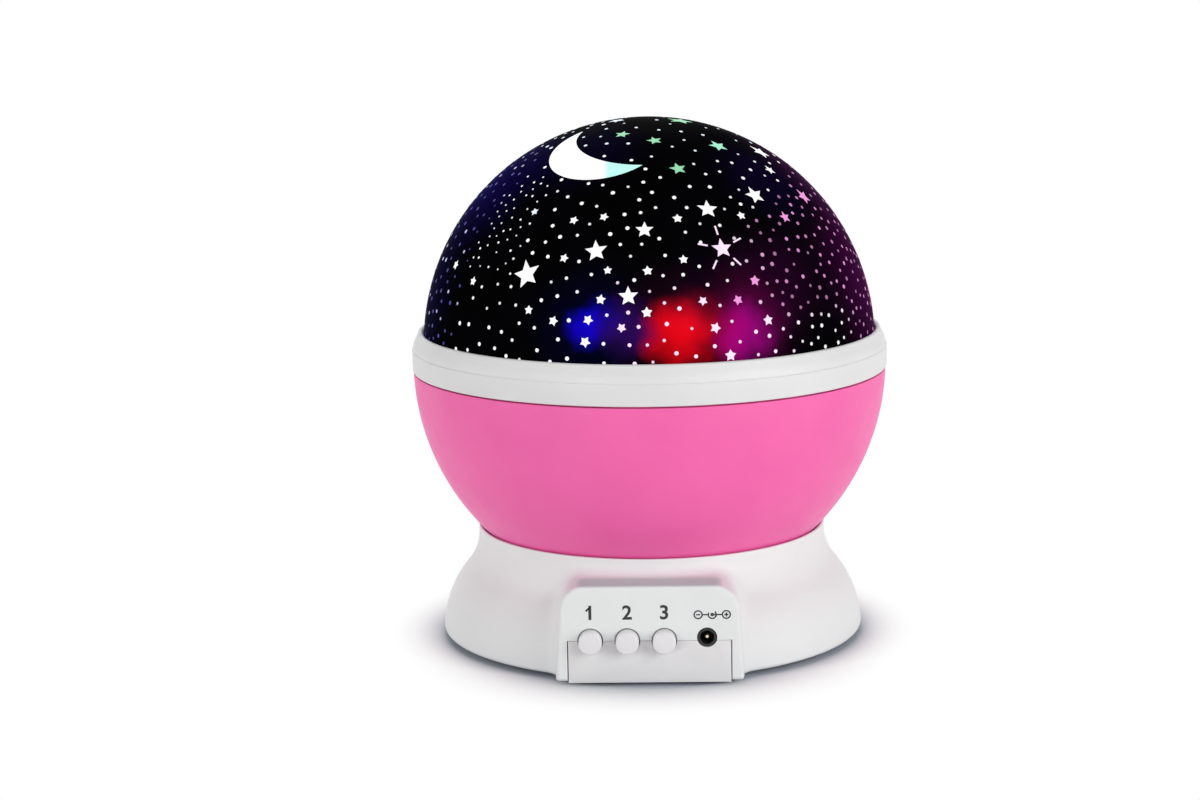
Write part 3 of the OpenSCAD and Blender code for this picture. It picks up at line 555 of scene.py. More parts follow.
# %% Turn the bowl
inner_r = bowl_r - bowl_wall
rim_low = rim_top - rim_t
floor_z = bowl_z + bowl_wall
bowl_outline = (
    [(bowl_bore_r, bowl_z), (bowl_flat_r - flat_step, bowl_z)]
    + arc(0, bowl_centre_z, bowl_r, ball_angle(bowl_r, bowl_centre_z, bowl_z),
          ball_angle(bowl_r, bowl_centre_z, seam_z - step_h), 72)
    + [(bowl_r - step_in, seam_z - step_h), (bowl_r - step_in, seam_z - seam_gap)]
    + [(spigot_r, seam_z - seam_gap), (spigot_r, spigot_top - spigot_edge)]
    + [(spigot_r - spigot_edge, spigot_top), (spigot_in_r, spigot_top)]
    + [(spigot_in_r, rim_top), (rim_in_r, rim_top), (rim_in_r, rim_low)]
    + arc(0, bowl_centre_z, inner_r, ball_angle(inner_r, bowl_centre_z, rim_low),
          ball_angle(inner_r, bowl_centre_z, floor_z), 40)
    + [(hub_r, floor_z), (hub_r, bowl_z + hub_h), (bowl_bore_r, bowl_z + hub_h)]
)
bowl = turned("pink_bowl", bowl_outline, 256)
lug_r, lug_root = spigot_r + lug_out, spigot_r - lug_sunk
lug_outline = [
    (lug_root, lug_low), (lug_r, lug_low), (lug_r, lug_high - lug_edge),
    (lug_r - lug_edge, lug_high), (lug_root, lug_high)]
lug_middles = [lug_first + 360 / lug_count * k for k in range(lug_count)]
lugs = [wedge("lug", lug_outline, middle - lug_angle / 2, lug_angle) for middle in lug_middles]
combine(bowl, lugs, "UNION")
smooth(bowl)
finished(bowl, "globe", "pink_shell", pink_plastic, "bowl")

# %% [markdown]
# ## The ring
# The white ring has an upright band, a rounded step, and a shoulder that leans in to a rolled
# lip against the dome. A bevel modifier would give all its edges one radius. Its section is
# drawn with short arcs instead, so each edge catches its own thin line of light. Inside are
# the slots for the bowl's lugs: an entry from below, and a level run to turn in.

# %% Turn the ring
ring_in_r = dome_r + 0.1
foot_edge_r, band_edge_r, lip_edge_r = 0.3, 0.3, 0.75
foot_in, band_low, lip_in, lip_low = 0.45, 0.55, 2.35, 0.35
lip_start = ball_angle(ring_in_r, dome_z, ring_top - lip_low)
# How far in the shoulder lies at each height over the dome's centre.
SHOULDER = ((0.06, 0.3), (0.3, 0.31), (0.6, 0.34), (1.2, 0.47), (1.95, 0.71), (2.7, 1.05), (3.4, 1.48))
ring_outline = (
    [(ring_in_r, seam_z + seam_gap), (ring_r - foot_in, seam_z + seam_gap)]
    + arc(ring_r - foot_edge_r, seam_z + seam_gap + foot_edge_r, foot_edge_r, -90, 0, 4)
    + [(ring_r, dome_z - band_low)]
    + arc(ring_r - band_edge_r, dome_z - band_edge_r, band_edge_r, 0, 78, 6)
    + [(ring_r - inwards, dome_z + up) for up, inwards in SHOULDER]
    + arc(ring_r - lip_in, ring_top - lip_edge_r, lip_edge_r, 30, 115, 7)
    + arc(0, dome_z, ring_in_r, lip_start, 0, 8)
)
ring = turned("white_ring", ring_outline, 256)

# %% Cut its slots
slot_in_r, slot_out_r = ring_in_r - 1, lug_r + 0.3
entry_half, turn_start, turn_sweep = 8, 7, 22


def oblong(in_r, out_r, low, high):
    """The section of a plain ring."""
    return [(in_r, low), (out_r, low), (out_r, high), (in_r, high)]


entry_slot = oblong(slot_in_r, slot_out_r, seam_z - 1, lug_high + 0.6)
turn_slot = oblong(slot_in_r, slot_out_r, lug_low - 0.2, lug_high + 0.5)
for middle in lug_middles:
    entry = wedge("entry", entry_slot, middle - entry_half, 2 * entry_half)
    combine(ring, [entry, wedge("turn", turn_slot, middle + turn_start, turn_sweep)])
smooth(ring)
finished(ring, "dome", "white_shell", white_plastic, "dome_ring")

# %% [markdown]
# ## The dome
# The dome is a plain half ball with a real wall, so it looks right from below too when it is
# lifted off. The light inside does not pass its black print, except as a faint glow low down,
# where each lamp stands close behind it. Real light through thin ink takes very many rays to
# render, so the glows are emission that fades with the distance from one spot. They are in
# Object coordinates, and so they stay where they are from every side.

# %% Directions on the dome
def dome_direction(across, up):
    """Unit vector for a place on the dome: degrees to the right of the front, and upwards."""
    a, e = math.radians(across), math.radians(up)
    return Vector((math.cos(e) * math.sin(a), -math.cos(e) * math.cos(a), math.sin(e)))


def dome_place(way, r):
    return way * r + Vector((0, 0, dome_z))


# %% Turn the dome
dome_wall, skin_in, edge_low = 1.6, 0.06, 0.9
outer_r, inner_dome_r = dome_r - skin_in, dome_r - dome_wall
dome_edge = dome_z - edge_low
dome_outline = (
    [(outer_r, dome_edge)]
    + arc(0, dome_z, outer_r, 0, 90, 90)
    + arc(0, dome_z, inner_dome_r, 90, 0, 60)
    + [(inner_dome_r, dome_edge), (outer_r, dome_edge)]
)
dome = smooth(turned("printed_dome", dome_outline, 256))

# %% Where the lamps' light reaches the print
GLOWS = [
    # across, up, reach in mm, colour
    (-14.5, 12.6, 6.8, (0.005, 0.0, 0.435)),
    (-11.2, 14.5, 7.8, (0.0, 0.0, 0.138)),
    (-13.6, 13.0, 19.0, (0.0, 0.0, 0.011)),
    (-4.9, 12.8, 10.1, (0.017, 0.002, 0.073)),
    (7.5, 11.0, 11.0, (0.73, 0.001, 0.002)),
    (11.4, 15.3, 8.8, (0.108, 0.001, 0.003)),
    (6.8, 13.6, 18.7, (0.008, 0.0, 0.0045)),
    (17.6, 11.1, 10.2, (0.147, 0.0, 0.0)),
    (24.1, 10.3, 10.4, (0.203, 0.0, 0.136)),
    (26.7, 11.7, 14.2, (0.059, 0.001, 0.0315)),
    (24.7, 16.0, 14.8, (0.017, 0.0, 0.0)),
    (19.0, 17.0, 20.0, (0.0036, 0.0, 0.0045)),
    (33.0, 20.0, 20.0, (0.012, 0.0, 0.0105)),
    (52.0, 26.0, 22.0, (0.003, 0.0, 0.003)),
    (84.0, 18.0, 34.0, (0.037, 0.0, 0.034)),
    (52.0, 50.0, 18.0, (0.002, 0.0, 0.011)),
    (99.0, 46.0, 28.0, (0.03, 0.0, 0.036)),
    (-100.0, 44.0, 26.0, (0.0, 0.0, 0.045)),
    (-36.0, 63.0, 21.0, (0.0007, 0.0, 0.008)),
    (-74.0, 48.0, 26.0, (0.002, 0.0, 0.034)),
    (-84.0, 16.0, 28.0, (0.001, 0.0, 0.018)),
    (93.0, 13.0, 13.0, (0.5, 0.05, 0.35)),
    (165.0, 13.0, 12.0, (0.0, 0.55, 0.08)),
    (163.0, 14.0, 24.0, (0.0, 0.07, 0.02)),
    (-123.0, 13.0, 12.0, (0.8, 0.5, 0.2)),
    (-125.0, 14.0, 24.0, (0.09, 0.05, 0.02)),
    (-155.0, 15.0, 20.0, (0.02, 0.0, 0.05)),
]
print(len(GLOWS), "glows")

# %% The dome's black print with the lamps' glow behind it
full_glow = 0.12
printed, tree = new_finish("printed_black")
wobble = noise(tree, 160, 2, "Color")
place = mixed(tree, 0.003, own_space(tree), wobble, "LINEAR_LIGHT")
total = None
for across, up, reach, colour in GLOWS:
    spot = dome_place(dome_direction(across, up), dome_r)
    glow = mixed(tree, fade(tree, place, spot, reach, full_glow * reach), (0, 0, 0, 1), (*colour, 1))
    total = mixed(tree, 1, total, glow, "ADD") if total else glow
wire(tree, shader_of(printed), {
    "Base Color": two_tones(tree, noise(tree, 90), (0.0008, 0.0008, 0.001), (0.0014, 0.0012, 0.002)),
    "Roughness": ranged(tree, noise(tree, 140), 0.34, 0.44),
    "Specular IOR Level": 0.0003, "Emission Color": total, "Emission Strength": 1})
finished(dome, "dome", "printed_dome", printed, "star_dome")

# %% [markdown]
# ## Stars and dots
# On the real dome the stars are places without print. Here each is a small window of light
# that goes right through the dome's wall, so it shows inside as well. Cutting hundreds of
# holes would be slow and would tear the smooth ball, so one star and one dot are modelled by
# hand and then set many times: a window is bent on to the ball by pointing each of its
# corners in the right direction. The colour of the lamp behind it is kept in the mesh, as a
# colour attribute, because it belongs to that window and not to a place in space.

# %% Model one star and one dot
def flat_shape(name, sides, inner=None):
    """A flat shape of radius 1: a star if inner is given. Returns its outline."""
    bpy.ops.object.select_all(action="DESELECT")
    bpy.ops.mesh.primitive_circle_add(vertices=sides, radius=1, fill_type="NGON")
    shape = bpy.context.object
    shape.name = name
    if inner:
        edit_all()
        bpy.ops.mesh.select_all(action="DESELECT")
        bpy.ops.object.mode_set(mode="OBJECT")
        for vertex in shape.data.vertices:
            vertex.select = vertex.index % 2 == 1
        bpy.ops.object.mode_set(mode="EDIT")
        bpy.ops.transform.resize(value=(inner, inner, inner))
        bpy.ops.object.mode_set(mode="OBJECT")
    outline = [(v.co.x, v.co.y) for v in shape.data.vertices]
    bpy.data.objects.remove(shape)
    return outline


star_outline = flat_shape("star", 10, 0.46)
fat_star_outline = flat_shape("fat_star", 10, 0.56)
dot_outline = flat_shape("dot", 8)
print("a star with", len(star_outline), "corners")

# %% Where the stars are
WHITE, LILAC, PINK = (1.0, 1.0, 1.0), (1.0, 0.78, 1.0), (0.86, 0.28, 0.72)
GREEN, MINT, PALE = (0.25, 0.68, 0.38), (0.33, 0.84, 0.58), (0.8, 0.9, 1.0)
rayed_star = (21.8, 31.4)
BIG_STARS = [
    # across, up, radius, turn, colour
    (-32.8, 24.8, 3.8, 21, WHITE), (-13.6, 31.4, 2.9, 10, WHITE), (-0.1, 37.0, 2.3, 0, WHITE),
    (20.5, 42.3, 2.7, -8, WHITE), (40.7, 45.3, 2.8, 6, WHITE), (*rayed_star, 2.7, 0, LILAC),
    (-4.2, 20.3, 2.5, 3, WHITE), (48.0, 38.0, 1.7, 0, PINK), (66.1, 42.6, 2.5, 12, PINK),
    (72.3, 58.9, 3.0, 5, WHITE), (60.2, 52.4, 1.7, 0, WHITE),
    (-18.7, 72.0, 2.0, 0, GREEN), (6.0, 68.4, 2.0, 15, GREEN), (44.7, 64.0, 2.6, 0, MINT),
    (14.2, 55.8, 2.2, 8, GREEN), (67.2, 80.9, 3.4, 0, GREEN), (-66.6, 82.0, 2.2, 20, PALE),
]
SMALL_STARS = [
    (10.1, 39.9, 1.3, WHITE), (31.3, 39.7, 1.2, WHITE), (-12.8, 40.5, 1.2, WHITE),
    (-22.4, 39.3, 1.2, WHITE), (-38.0, 41.1, 1.1, PALE), (-22.5, 29.2, 1.2, WHITE),
    (-11.1, 19.4, 1.3, WHITE), (10.4, 29.0, 1.2, WHITE), (-9.8, 26.5, 1.1, WHITE),
    (0.7, 26.4, 1.3, WHITE), (-5.7, 12.8, 1.2, LILAC), (-23.0, 13.9, 1.3, WHITE),
    (-14.5, 9.3, 1.4, WHITE), (-14.0, 14.5, 1.3, WHITE), (0.4, 16.4, 1.4, WHITE),
    (23.6, 18.4, 1.3, PINK), (29.3, 22.7, 1.4, PINK), (14.4, 18.7, 1.2, LILAC),
    (17.0, 12.2, 1.4, LILAC), (20.4, 5.5, 1.5, LILAC), (31.2, 13.0, 1.4, LILAC),
    (-63.5, 24.3, 1.3, WHITE), (-30.2, 16.1, 1.2, WHITE), (-51.6, 21.4, 1.2, WHITE),
]
back_turn, crown_up = 176, 62
big_stars = BIG_STARS + [(star[0] + back_turn, *star[1:]) for star in BIG_STARS if star[1] < crown_up]
small_stars = SMALL_STARS + [(star[0] + back_turn, *star[1:]) for star in SMALL_STARS]
print(len(big_stars), "large stars,", len(small_stars), "small ones")

# %% Put windows into one mesh
window_out_r, window_in_r = dome_r - 0.01, dome_r - dome_wall - 0.03


class Windows:
    """Collects windows that are bent on to the dome, and makes one piece of them."""

    def __init__(self):
        self.points, self.faces, self.colours = [], [], []

    def add(self, outline, across, up, colour, scale=1, turn=0):
        """One closed window with its outline in millimetres, counter-clockwise."""
        facing = dome_direction(across, up)
        right = Vector((0, 0, 1)).cross(facing).normalized()
        above = facing.cross(right)
        c, s = math.cos(math.radians(turn)), math.sin(math.radians(turn))
        flat = [(scale * (x * c - y * s), scale * (x * s + y * c)) for x, y in outline]
        ways = [(facing + (right * u + above * v) / dome_r).normalized() for u, v in flat]
        first, count = len(self.points), len(outline)
        for r in (window_out_r, window_in_r):
            self.points += [dome_place(way, r) * MM for way in ways + [facing]]
        outer_middle, inner_middle = first + count, first + 2 * count + 1
        for k in range(count):
            outer, inner = first + k, first + count + 1 + k
            outer_next, inner_next = first + (k + 1) % count, first + count + 1 + (k + 1) % count
            self.faces.append((outer_middle, outer, outer_next))
            self.faces.append((inner_middle, inner_next, inner))
            self.faces.append((outer, inner, inner_next, outer_next))
        self.colours += [(*colour, 1)] * (2 * count + 2)

    def piece(self, name):
        mesh = bpy.data.meshes.new(name)
        mesh.from_pydata(self.points, [], self.faces)
        tint = mesh.color_attributes.new("lamp_light", "FLOAT_COLOR", "POINT")
        tint.data.foreach_set("color", np.array(self.colours, np.float32).ravel())
        made = bpy.data.objects.new(name, mesh)
        bpy.context.scene.collection.objects.link(made)
        pick(made)
        edit_all()
        close_outwards()
        return made


# %% The finish of a lit window
def lit_finish(name):
    """A finish that hardly reflects and shines at its own colour."""
    material, tree = new_finish(name)
    wire(tree, shader_of(material), {
        "Base Color": (0.05, 0.05, 0.05, 1), "Specular IOR Level": 0.1, "Emission Strength": 1})
    return material, tree


window_light, tree = lit_finish("window_light")
lamp_colour = add_node(tree, "ShaderNodeAttribute", attribute_name="lamp_light").outputs["Color"]
flicker = two_tones(tree, noise(tree, 260), (0.94, 0.94, 0.94), (1, 1, 1))
wire(tree, shader_of(window_light), {"Emission Color": mixed(tree, 1, lamp_colour, flicker, "MULTIPLY")})
print("the windows' finish has", len(tree.nodes), "nodes")

# %% Set the stars
stars = Windows()
for across, up, r, spin, tone in big_stars:
    stars.add(star_outline, across, up, tone, r, spin)
for across, up, r, tone in small_stars:
    stars.add(fat_star_outline, across, up, tone, r, 7 * across)
ray_count, ray_lean, ray_near, ray_far, ray_half = 5, 4, 3.7, 6.2, 0.22
ray_l, ray_middle = ray_far - ray_near, (ray_near + ray_far) / 2
ray = [(-ray_half, -ray_l / 2), (ray_half, -ray_l / 2), (ray_half, ray_l / 2), (-ray_half, ray_l / 2)]
for k in range(ray_count):
    lean = ray_lean + 360 / ray_count * k
    to_side = -ray_middle * math.sin(math.radians(lean)) / dome_r
    upwards = ray_middle * math.cos(math.radians(lean)) / dome_r
    ray_across = rayed_star[0] + math.degrees(to_side) / math.cos(math.radians(rayed_star[1]))
    stars.add(ray, ray_across, rayed_star[1] + math.degrees(upwards), LILAC, 1, lean)
finished(stars.piece("star_windows"), "dome", "printed_dome", window_light)

# %% [markdown]
# The dots are too many to place one by one. They are scattered at random, with a rule for
# their spacing, size and colour, and a new dot is dropped where it would touch an older one.
# The seed is fixed, so the sky is the same each time.

# %% Rules for the dots
random.seed(11)
LIMB_TONES = ((0.006, 0.003, 0.15), (0.015, 0.01, 0.25), (0.5, 0.5, 0.75))
moon_disc, moon_bite = (-25.5, 66.0, 14.6), (-1.2, 74.4, 17.4)


def colour_near(across, up):
    """Dots on the right are tinted by the pink lamp, those on the left limb are blue."""
    if up > crown_up:
        return PALE
    low_side = max((up - 11) / 4, (across - 58) / 6)
    if 20 < across < 100 and low_side > 0 and up < 36 + 0.3 * (across - 20):
        tone = min(1, (across - 20) / 16) * min(1, low_side)
        dim = random.uniform(0.35, 0.9)
        return tuple(w + (p * dim - w) * tone for w, p in zip(WHITE, PINK))
    if -120 < across < -56:
        return random.choice(LIMB_TONES)
    if -8 < across < 40 and up < 24:
        return LILAC
    return WHITE


def spacing_near(across, up):
    """Gap between dots and their radius, in millimetres."""
    a = (across + 180) % 180 if abs(across) > 120 else across
    if -60 < a < -37 and 24 < up < 52:
        return 2.3, 0.3
    if -120 < a < -60:
        return 3.2, 0.52
    if 30 < a < 84 and 5 < up < 44:
        return 2.8, 0.5
    if up > 58:
        return 5.2, 0.44
    return 3.9, 0.5


def in_moon(way, margin=1.2):
    """True where a dot would touch the moon."""
    disc, bite = (
        (way - dome_direction(across, up)).length * dome_r - r for across, up, r in (moon_disc, moon_bite))
    return disc < margin and bite > -margin


# %% Scatter the dots
tries, star_clear, dot_clear, dot_turn = 16000, 1.0, 0.5, 22
lowest, highest = math.sin(math.radians(3.9)), math.sin(math.radians(86))
taken = [(dome_direction(star[0], star[1]), star[2] + star_clear) for star in big_stars + small_stars]
star_count = len(taken)
dots = Windows()
for _ in range(tries):
    up = math.degrees(math.asin(random.uniform(lowest, highest)))
    across = random.uniform(-180, 180)
    gap, r = spacing_near(across, up)
    way = dome_direction(across, up)
    near = any((way - other).length * dome_r < max(gap, reach + r) for other, reach in taken)
    if near or in_moon(way):
        continue
    taken.append((way, r + dot_clear))
    tone = colour_near(across, up)
    share = random.uniform(0.75, 1.12)
    dots.add(dot_outline, across, up, [c * min(1, share) for c in tone], r * share, dot_turn)
finished(dots.piece("dot_windows"), "dome", "printed_dome", window_light)
print(len(taken) - star_count, "dots")

# %% [markdown]
# ## The moon
# The crescent is the largest window. It is cut with two round bars that point at the middle of
# the dome: one bar keeps a round piece of a thin ball shell, and the other bites the crescent
# out of it. So its outside follows the ball exactly, which a flat shape laid on it would not.

# %% Cut the moon
def radial_bar(name, across, up, r):
    """A round bar that points at the middle of the dome."""
    way = dome_direction(across, up)
    return bar(name, r, dome_place(way, dome_r), dome_r, 128, way.to_track_quat("Z", "Y").to_euler())


moon_low = 44
moon_shell = arc(0, dome_z, window_out_r, moon_low, 90, 46) + arc(0, dome_z, window_in_r, 90, moon_low, 30)
moon = turned("moon_window", moon_shell, 192)
combine(moon, [radial_bar("disc", *moon_disc)], "INTERSECT")
combine(moon, [radial_bar("bite", *moon_bite)])
smooth(moon)

# %% The moon's light
cyan_edge, tip_edge, cyan_blur, tip_blur = -9.8, 131.5, 0.6, 3
moon_light, tree = lit_finish("moon_light")
axes = axes_of(tree, own_space(tree))
right_part = ranged(tree, axes["X"], 0, 1, (cyan_edge - cyan_blur) * MM, (cyan_edge + cyan_blur) * MM)
tip_part = ranged(tree, axes["Z"], 0, 0.35, tip_edge * MM, (tip_edge + tip_blur) * MM)
cyan_share = calc(tree, "MAXIMUM", right_part, tip_part)
cloudy = two_tones(tree, noise(tree, 120), (1, 0.97, 0.98), (1, 1, 1))
wire(tree, shader_of(moon_light), {"Emission Color": mixed(tree, cyan_share, cloudy, (0.5, 1.0, 0.88, 1))})
finished(moon, "dome", "printed_dome", moon_light)

# %% [markdown]
# ## The base shell
# The base is one moulding: a flared skirt that runs up into a collar, with a box for the
# controls that grows out of it. On the real part the mould maker rounds the inside corner
# between the two. A boolean and a bevel do not give that corner cleanly, so this one skin is
# made another way: a grid is laid round the base, and each of its points is moved out along a
# ray until it meets the rounded union of the two forms, which is worked out as a distance.

# %% The section of the skirt
skirt_curve_r = 26
skirt_cx, skirt_cz = skirt_r - skirt_curve_r, base_z - 0.2
collar_lip = 0.6
mouth_ball_r = bowl_r + 0.35
mouth_r = math.sqrt(mouth_ball_r ** 2 - (bowl_centre_z - collar_top) ** 2)
collar_r = mouth_r + collar_lip
neck_cz = collar_top - 1.8
reach_in, reach_up = collar_r - skirt_cx, neck_cz - skirt_cz
neck_curve_r = (reach_in ** 2 + reach_up ** 2 - skirt_curve_r ** 2) / 2 / (skirt_curve_r - reach_in)
neck_cx = collar_r + neck_curve_r
meet_z = skirt_cz + reach_up * skirt_curve_r / (skirt_curve_r + neck_curve_r)


def skirt_distance(r, z):
    low = np.hypot(r - skirt_cx, z - skirt_cz) - skirt_curve_r
    neck = neck_curve_r - np.hypot(neck_cx - r, z - neck_cz)
    return np.where(z < meet_z, low, np.where(z < neck_cz, neck, r - collar_r))


print("the skirt's curves meet at z", round(meet_z, 2))

# %% The control box, and both together
panel_w, panel_draft, box_back = 44.8, 2.3, -20
panel_top, panel_corner, panel_edge = 25.6, 6.5, 0.9
fillet_r, foot_edge, top_edge = 2.6, 1.1, 0.28


def rounded_and(a, b, r):
    """Distance to what two forms share, with the edge between them rounded."""
    return np.hypot(np.maximum(a + r, 0), np.maximum(b + r, 0)) + np.minimum(np.maximum(a + r, b + r), 0) - r


def rounded_or(a, b, r):
    """Distance to two forms joined, with the corner between them filled by a radius."""
    return np.maximum(r, np.minimum(a, b)) - np.hypot(np.maximum(r - a, 0), np.maximum(r - b, 0))


def box_distance(x, y, z):
    corner_z = panel_top - panel_corner
    drop = np.clip((corner_z - z) / (corner_z - base_z), 0, 1)
    half = panel_w / 2 + panel_draft / 2 * drop
    side, rise = np.abs(x) - (half - panel_corner), z - corner_z
    outline = np.where((side > 0) & (rise > 0), np.hypot(side, rise), np.maximum(side, rise)) - panel_corner
    return np.maximum(rounded_and(outline, -y - panel_out, panel_edge), y - box_back)


def base_distance(x, y, z):
    form = rounded_or(skirt_distance(np.hypot(x, y), z), box_distance(x, y, z), fillet_r)
    form = rounded_and(form, base_z - z, foot_edge)
    return rounded_and(form, z - collar_top, top_edge)


# %% Find the skin
core_r, core_z, longest_ray, halvings, box_side_angle = 40, 12, 60, 44, 23.5
# The rays' tilts from the underside of the skirt to the inside of the collar: from, to, steps.
TILTS = ((-39, -24, 21), (-24, 28, 43), (28, 66, 53), (66, 72.8, 15))


def columns():
    """Angles round the base, closer together at the sides of the control box."""
    angles, a = [], 0.0
    while a < 180:
        angles.append(a)
        near = abs(a - box_side_angle)
        a += 0.35 if near < 4 else 0.8 if near < 8 else 1.5 if a < 40 else 2.5
    half = np.array(angles)
    return np.radians(np.concatenate([-half[:0:-1], half]) - 90)


def along_rays(length):
    """The places at a length along every ray."""
    r = core_r + length * np.cos(tilt)
    return r * np.cos(around), r * np.sin(around), core_z + length * np.sin(tilt)


tilts = [np.linspace(*row, endpoint=False) for row in TILTS] + [[TILTS[-1][1]]]
around, tilt = np.meshgrid(columns(), np.radians(np.concatenate(tilts)))
low, high = np.zeros_like(tilt), np.full_like(tilt, longest_ray)
for _ in range(halvings):
    middle = (low + high) / 2
    inside = base_distance(*along_rays(middle)) < 0
    low, high = np.where(inside, middle, low), np.where(inside, high, middle)
places = np.stack(along_rays(low), axis=-1)
places = np.concatenate([places, places[:, :1]], axis=1)
print("skin of", places.shape[0], "by", places.shape[1], "points")

# %% Lay the skin
skin_merge_gap = 0.001
bpy.ops.object.select_all(action="DESELECT")
bpy.ops.mesh.primitive_grid_add(x_subdivisions=tilt.shape[1], y_subdivisions=tilt.shape[0] - 1, size=1)
shell = bpy.context.object
shell.name = "base_moulding"
shell.data.vertices.foreach_set("co", (places * MM).astype(np.float32).ravel())
edit_all()
bpy.ops.mesh.remove_doubles(threshold=skin_merge_gap * MM)
bpy.ops.mesh.select_all(action="DESELECT")
bpy.ops.mesh.select_mode(type="EDGE")
bpy.ops.mesh.select_non_manifold()
bpy.ops.mesh.edge_face_add()
bpy.ops.mesh.select_mode(type="VERT")
close_outwards()
print("skin of", len(shell.data.polygons), "faces")

# %% [markdown]
# The shell is hollow: the space for the control board lies below its deck, and the bowl turns
# above it. The real mould has a core for each space, so each is one turned or boxed cutter
# here. The button holes lie half in the shell and half in the cover's tab.

# %% The two round spaces in the base
base_wall, panel_wall = 2.2, 2
deck_top, deck_under = 21, 19
MOUTH_LEVELS = (28.3, 28.8, 29.3, 29.8, 30.6)
neck_steps = 6


def neck_inside(z):
    """A point on the inside of the neck's wall."""
    return neck_cx - math.sqrt((neck_curve_r + base_wall) ** 2 - (z - neck_cz) ** 2), z


skirt_up = math.degrees(math.asin((meet_z - skirt_cz) / skirt_curve_r))
cavity_outline = (
    [(0, base_z - 2), (skirt_r - base_wall - 0.01, base_z - 2)]
    + arc(skirt_cx, skirt_cz, skirt_curve_r - base_wall, 0, skirt_up, 24)
    + [neck_inside(z) for z in (meet_z + 0.4, deck_under) if z > meet_z]
    + [(0, deck_under)]
)
chamber_outline = (
    [(0, deck_top)]
    + [neck_inside(deck_top + k * (neck_cz - deck_top) / neck_steps) for k in range(neck_steps + 1)]
    + [(math.sqrt(mouth_ball_r ** 2 - (bowl_centre_z - z) ** 2), z) for z in MOUTH_LEVELS]
    + [(0, MOUTH_LEVELS[-1])]
)
print("wall of", base_wall, "mm and deck of", deck_top - deck_under, "mm")

# %% Hollow the base and cut its openings
tab_half, parting_z = 20.5, 11.7
box_front, box_inner_y, box_upper_y, box_upper_z = panel_wall - panel_out, -40, -50.4, 18
button_xs, button_hole_r = (-14.7, -5.5, 3.7), 3.2
jack_x, jack_z, jack_hole_r = 14.3, 12.4, 2.5
post_hole_r, shaft_hole_r, shaft_x = 5.2, 2, 34.5
hole_l = 6


def front_hole(name, r, x, z):
    return bar(name, r, (x, 1 - panel_out, z), hole_l, 96, (math.pi / 2, 0, 0))


def deck_hole(name, r, x):
    return bar(name, r, (x, 0, (deck_top + deck_under) / 2), hole_l, 64)


combine(shell, [
    turned("cavity", cavity_outline),
    turned("chamber", chamber_outline),
    block("box_inside", (-tab_half, box_front, -1), (tab_half, box_inner_y, deck_under)),
    block("box_upper", (-tab_half, box_front, box_upper_z), (tab_half, box_upper_y, panel_top - panel_wall)),
    block("tab_opening", (-tab_half, -panel_out - 2, -1), (tab_half, box_front + 0.01, parting_z)),
    front_hole("jack_hole", jack_hole_r, jack_x, jack_z),
    deck_hole("post_hole", post_hole_r, 0),
    deck_hole("shaft_hole", shaft_hole_r, shaft_x),
] + [front_hole("button_hole", button_hole_r, x, parting_z) for x in button_xs])
smooth(shell, 28)
finished(shell, "base", "white_shell", base_plastic, "base_shell")

# %% [markdown]
# ## Flat mouldings
# The bottom cover with its front tab, and the cell door, are flat shapes with many small
# steps. To draw them again would gain nothing, because their construction pieces are right,
# but the edges of those are razor sharp. So a copy is merged into clean faces and gets a narrow
# bevel, as every moulded edge has.

# %% Soften the cover and the door
def softened(node, name, width=0.14, angle=40):
    """A copy of a construction piece with its hard edges rounded by width."""
    copy = frame["nodes"][node].copy()
    copy.data = copy.data.copy()
    copy.name = name
    copy.parent = None
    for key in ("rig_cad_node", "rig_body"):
        if key in copy:
            del copy[key]
    bpy.context.scene.collection.objects.link(copy)
    pick(copy)
    edit_all()
    bpy.ops.mesh.customdata_custom_splitnormals_clear()
    merge_points()
    bpy.ops.mesh.dissolve_limited(angle_limit=math.radians(0.4))
    round_edges(copy, width, limit_method="ANGLE", angle_limit=math.radians(angle), use_clamp_overlap=False)
    return smooth(copy, 30)


finished(softened("bottom_cover", "cover_moulding"), "base", "white_shell", white_plastic, "bottom_cover")
finished(softened("cell_door", "door_moulding"), "battery_door", "white_shell", white_plastic, "cell_door")

# %% [markdown]
# ## Buttons
# Each button is a short round cap with a slightly crowned face, and a flange behind the panel
# keeps it from falling out. A cylinder with a bevel would have a flat face. The cap is turned
# upright instead, with its crown in the outline, and then tipped over to face forwards.

# %% Turn the caps
cap_low, cap_high = corners("button_cap_1")
cap_l = cap_high.y - cap_low.y
cap_r, cap_flange_r, cap_flange_t, cap_flange_edge = 2.9, 3.9, 1, 0.15
cap_edge_r, crown_r, crown_angle = 0.55, 20, 3.2
cap_outline = (
    [(0, 0), (cap_flange_r - cap_flange_edge, 0), (cap_flange_r, cap_flange_edge)]
    + [(cap_flange_r, cap_flange_t - cap_flange_edge), (cap_flange_r - cap_flange_edge, cap_flange_t)]
    + [(cap_r, cap_flange_t)]
    + arc(cap_r - cap_edge_r, cap_l - 0.6, cap_edge_r, 0, 80, 6)
    + arc(0, cap_l - crown_r, crown_r, 90 - crown_angle, 90, 6)
)


def facing_front(piece, x, y, z):
    """Tip a piece made on the floor, so that its top faces forwards, and put it in its place."""
    piece.rotation_euler.x = math.pi / 2
    return moved(piece, x, y, z)


for k, x in enumerate(button_xs, 1):
    cap = facing_front(turned(f"cap_{k}", cap_outline, 64), x, cap_high.y, parting_z)
    finished(smooth(cap), f"button_{k}", "keycap", cap_plastic, f"button_cap_{k}")

# %% [markdown]
# ## Marks on the panel
# The buttons carry plain numbers, and the power socket the common signs for direct current
# and for a plus in the middle. An image could carry them, but it would blur close up. They are
# printed, so they are modelled only a few hundredths of a millimetre thick.

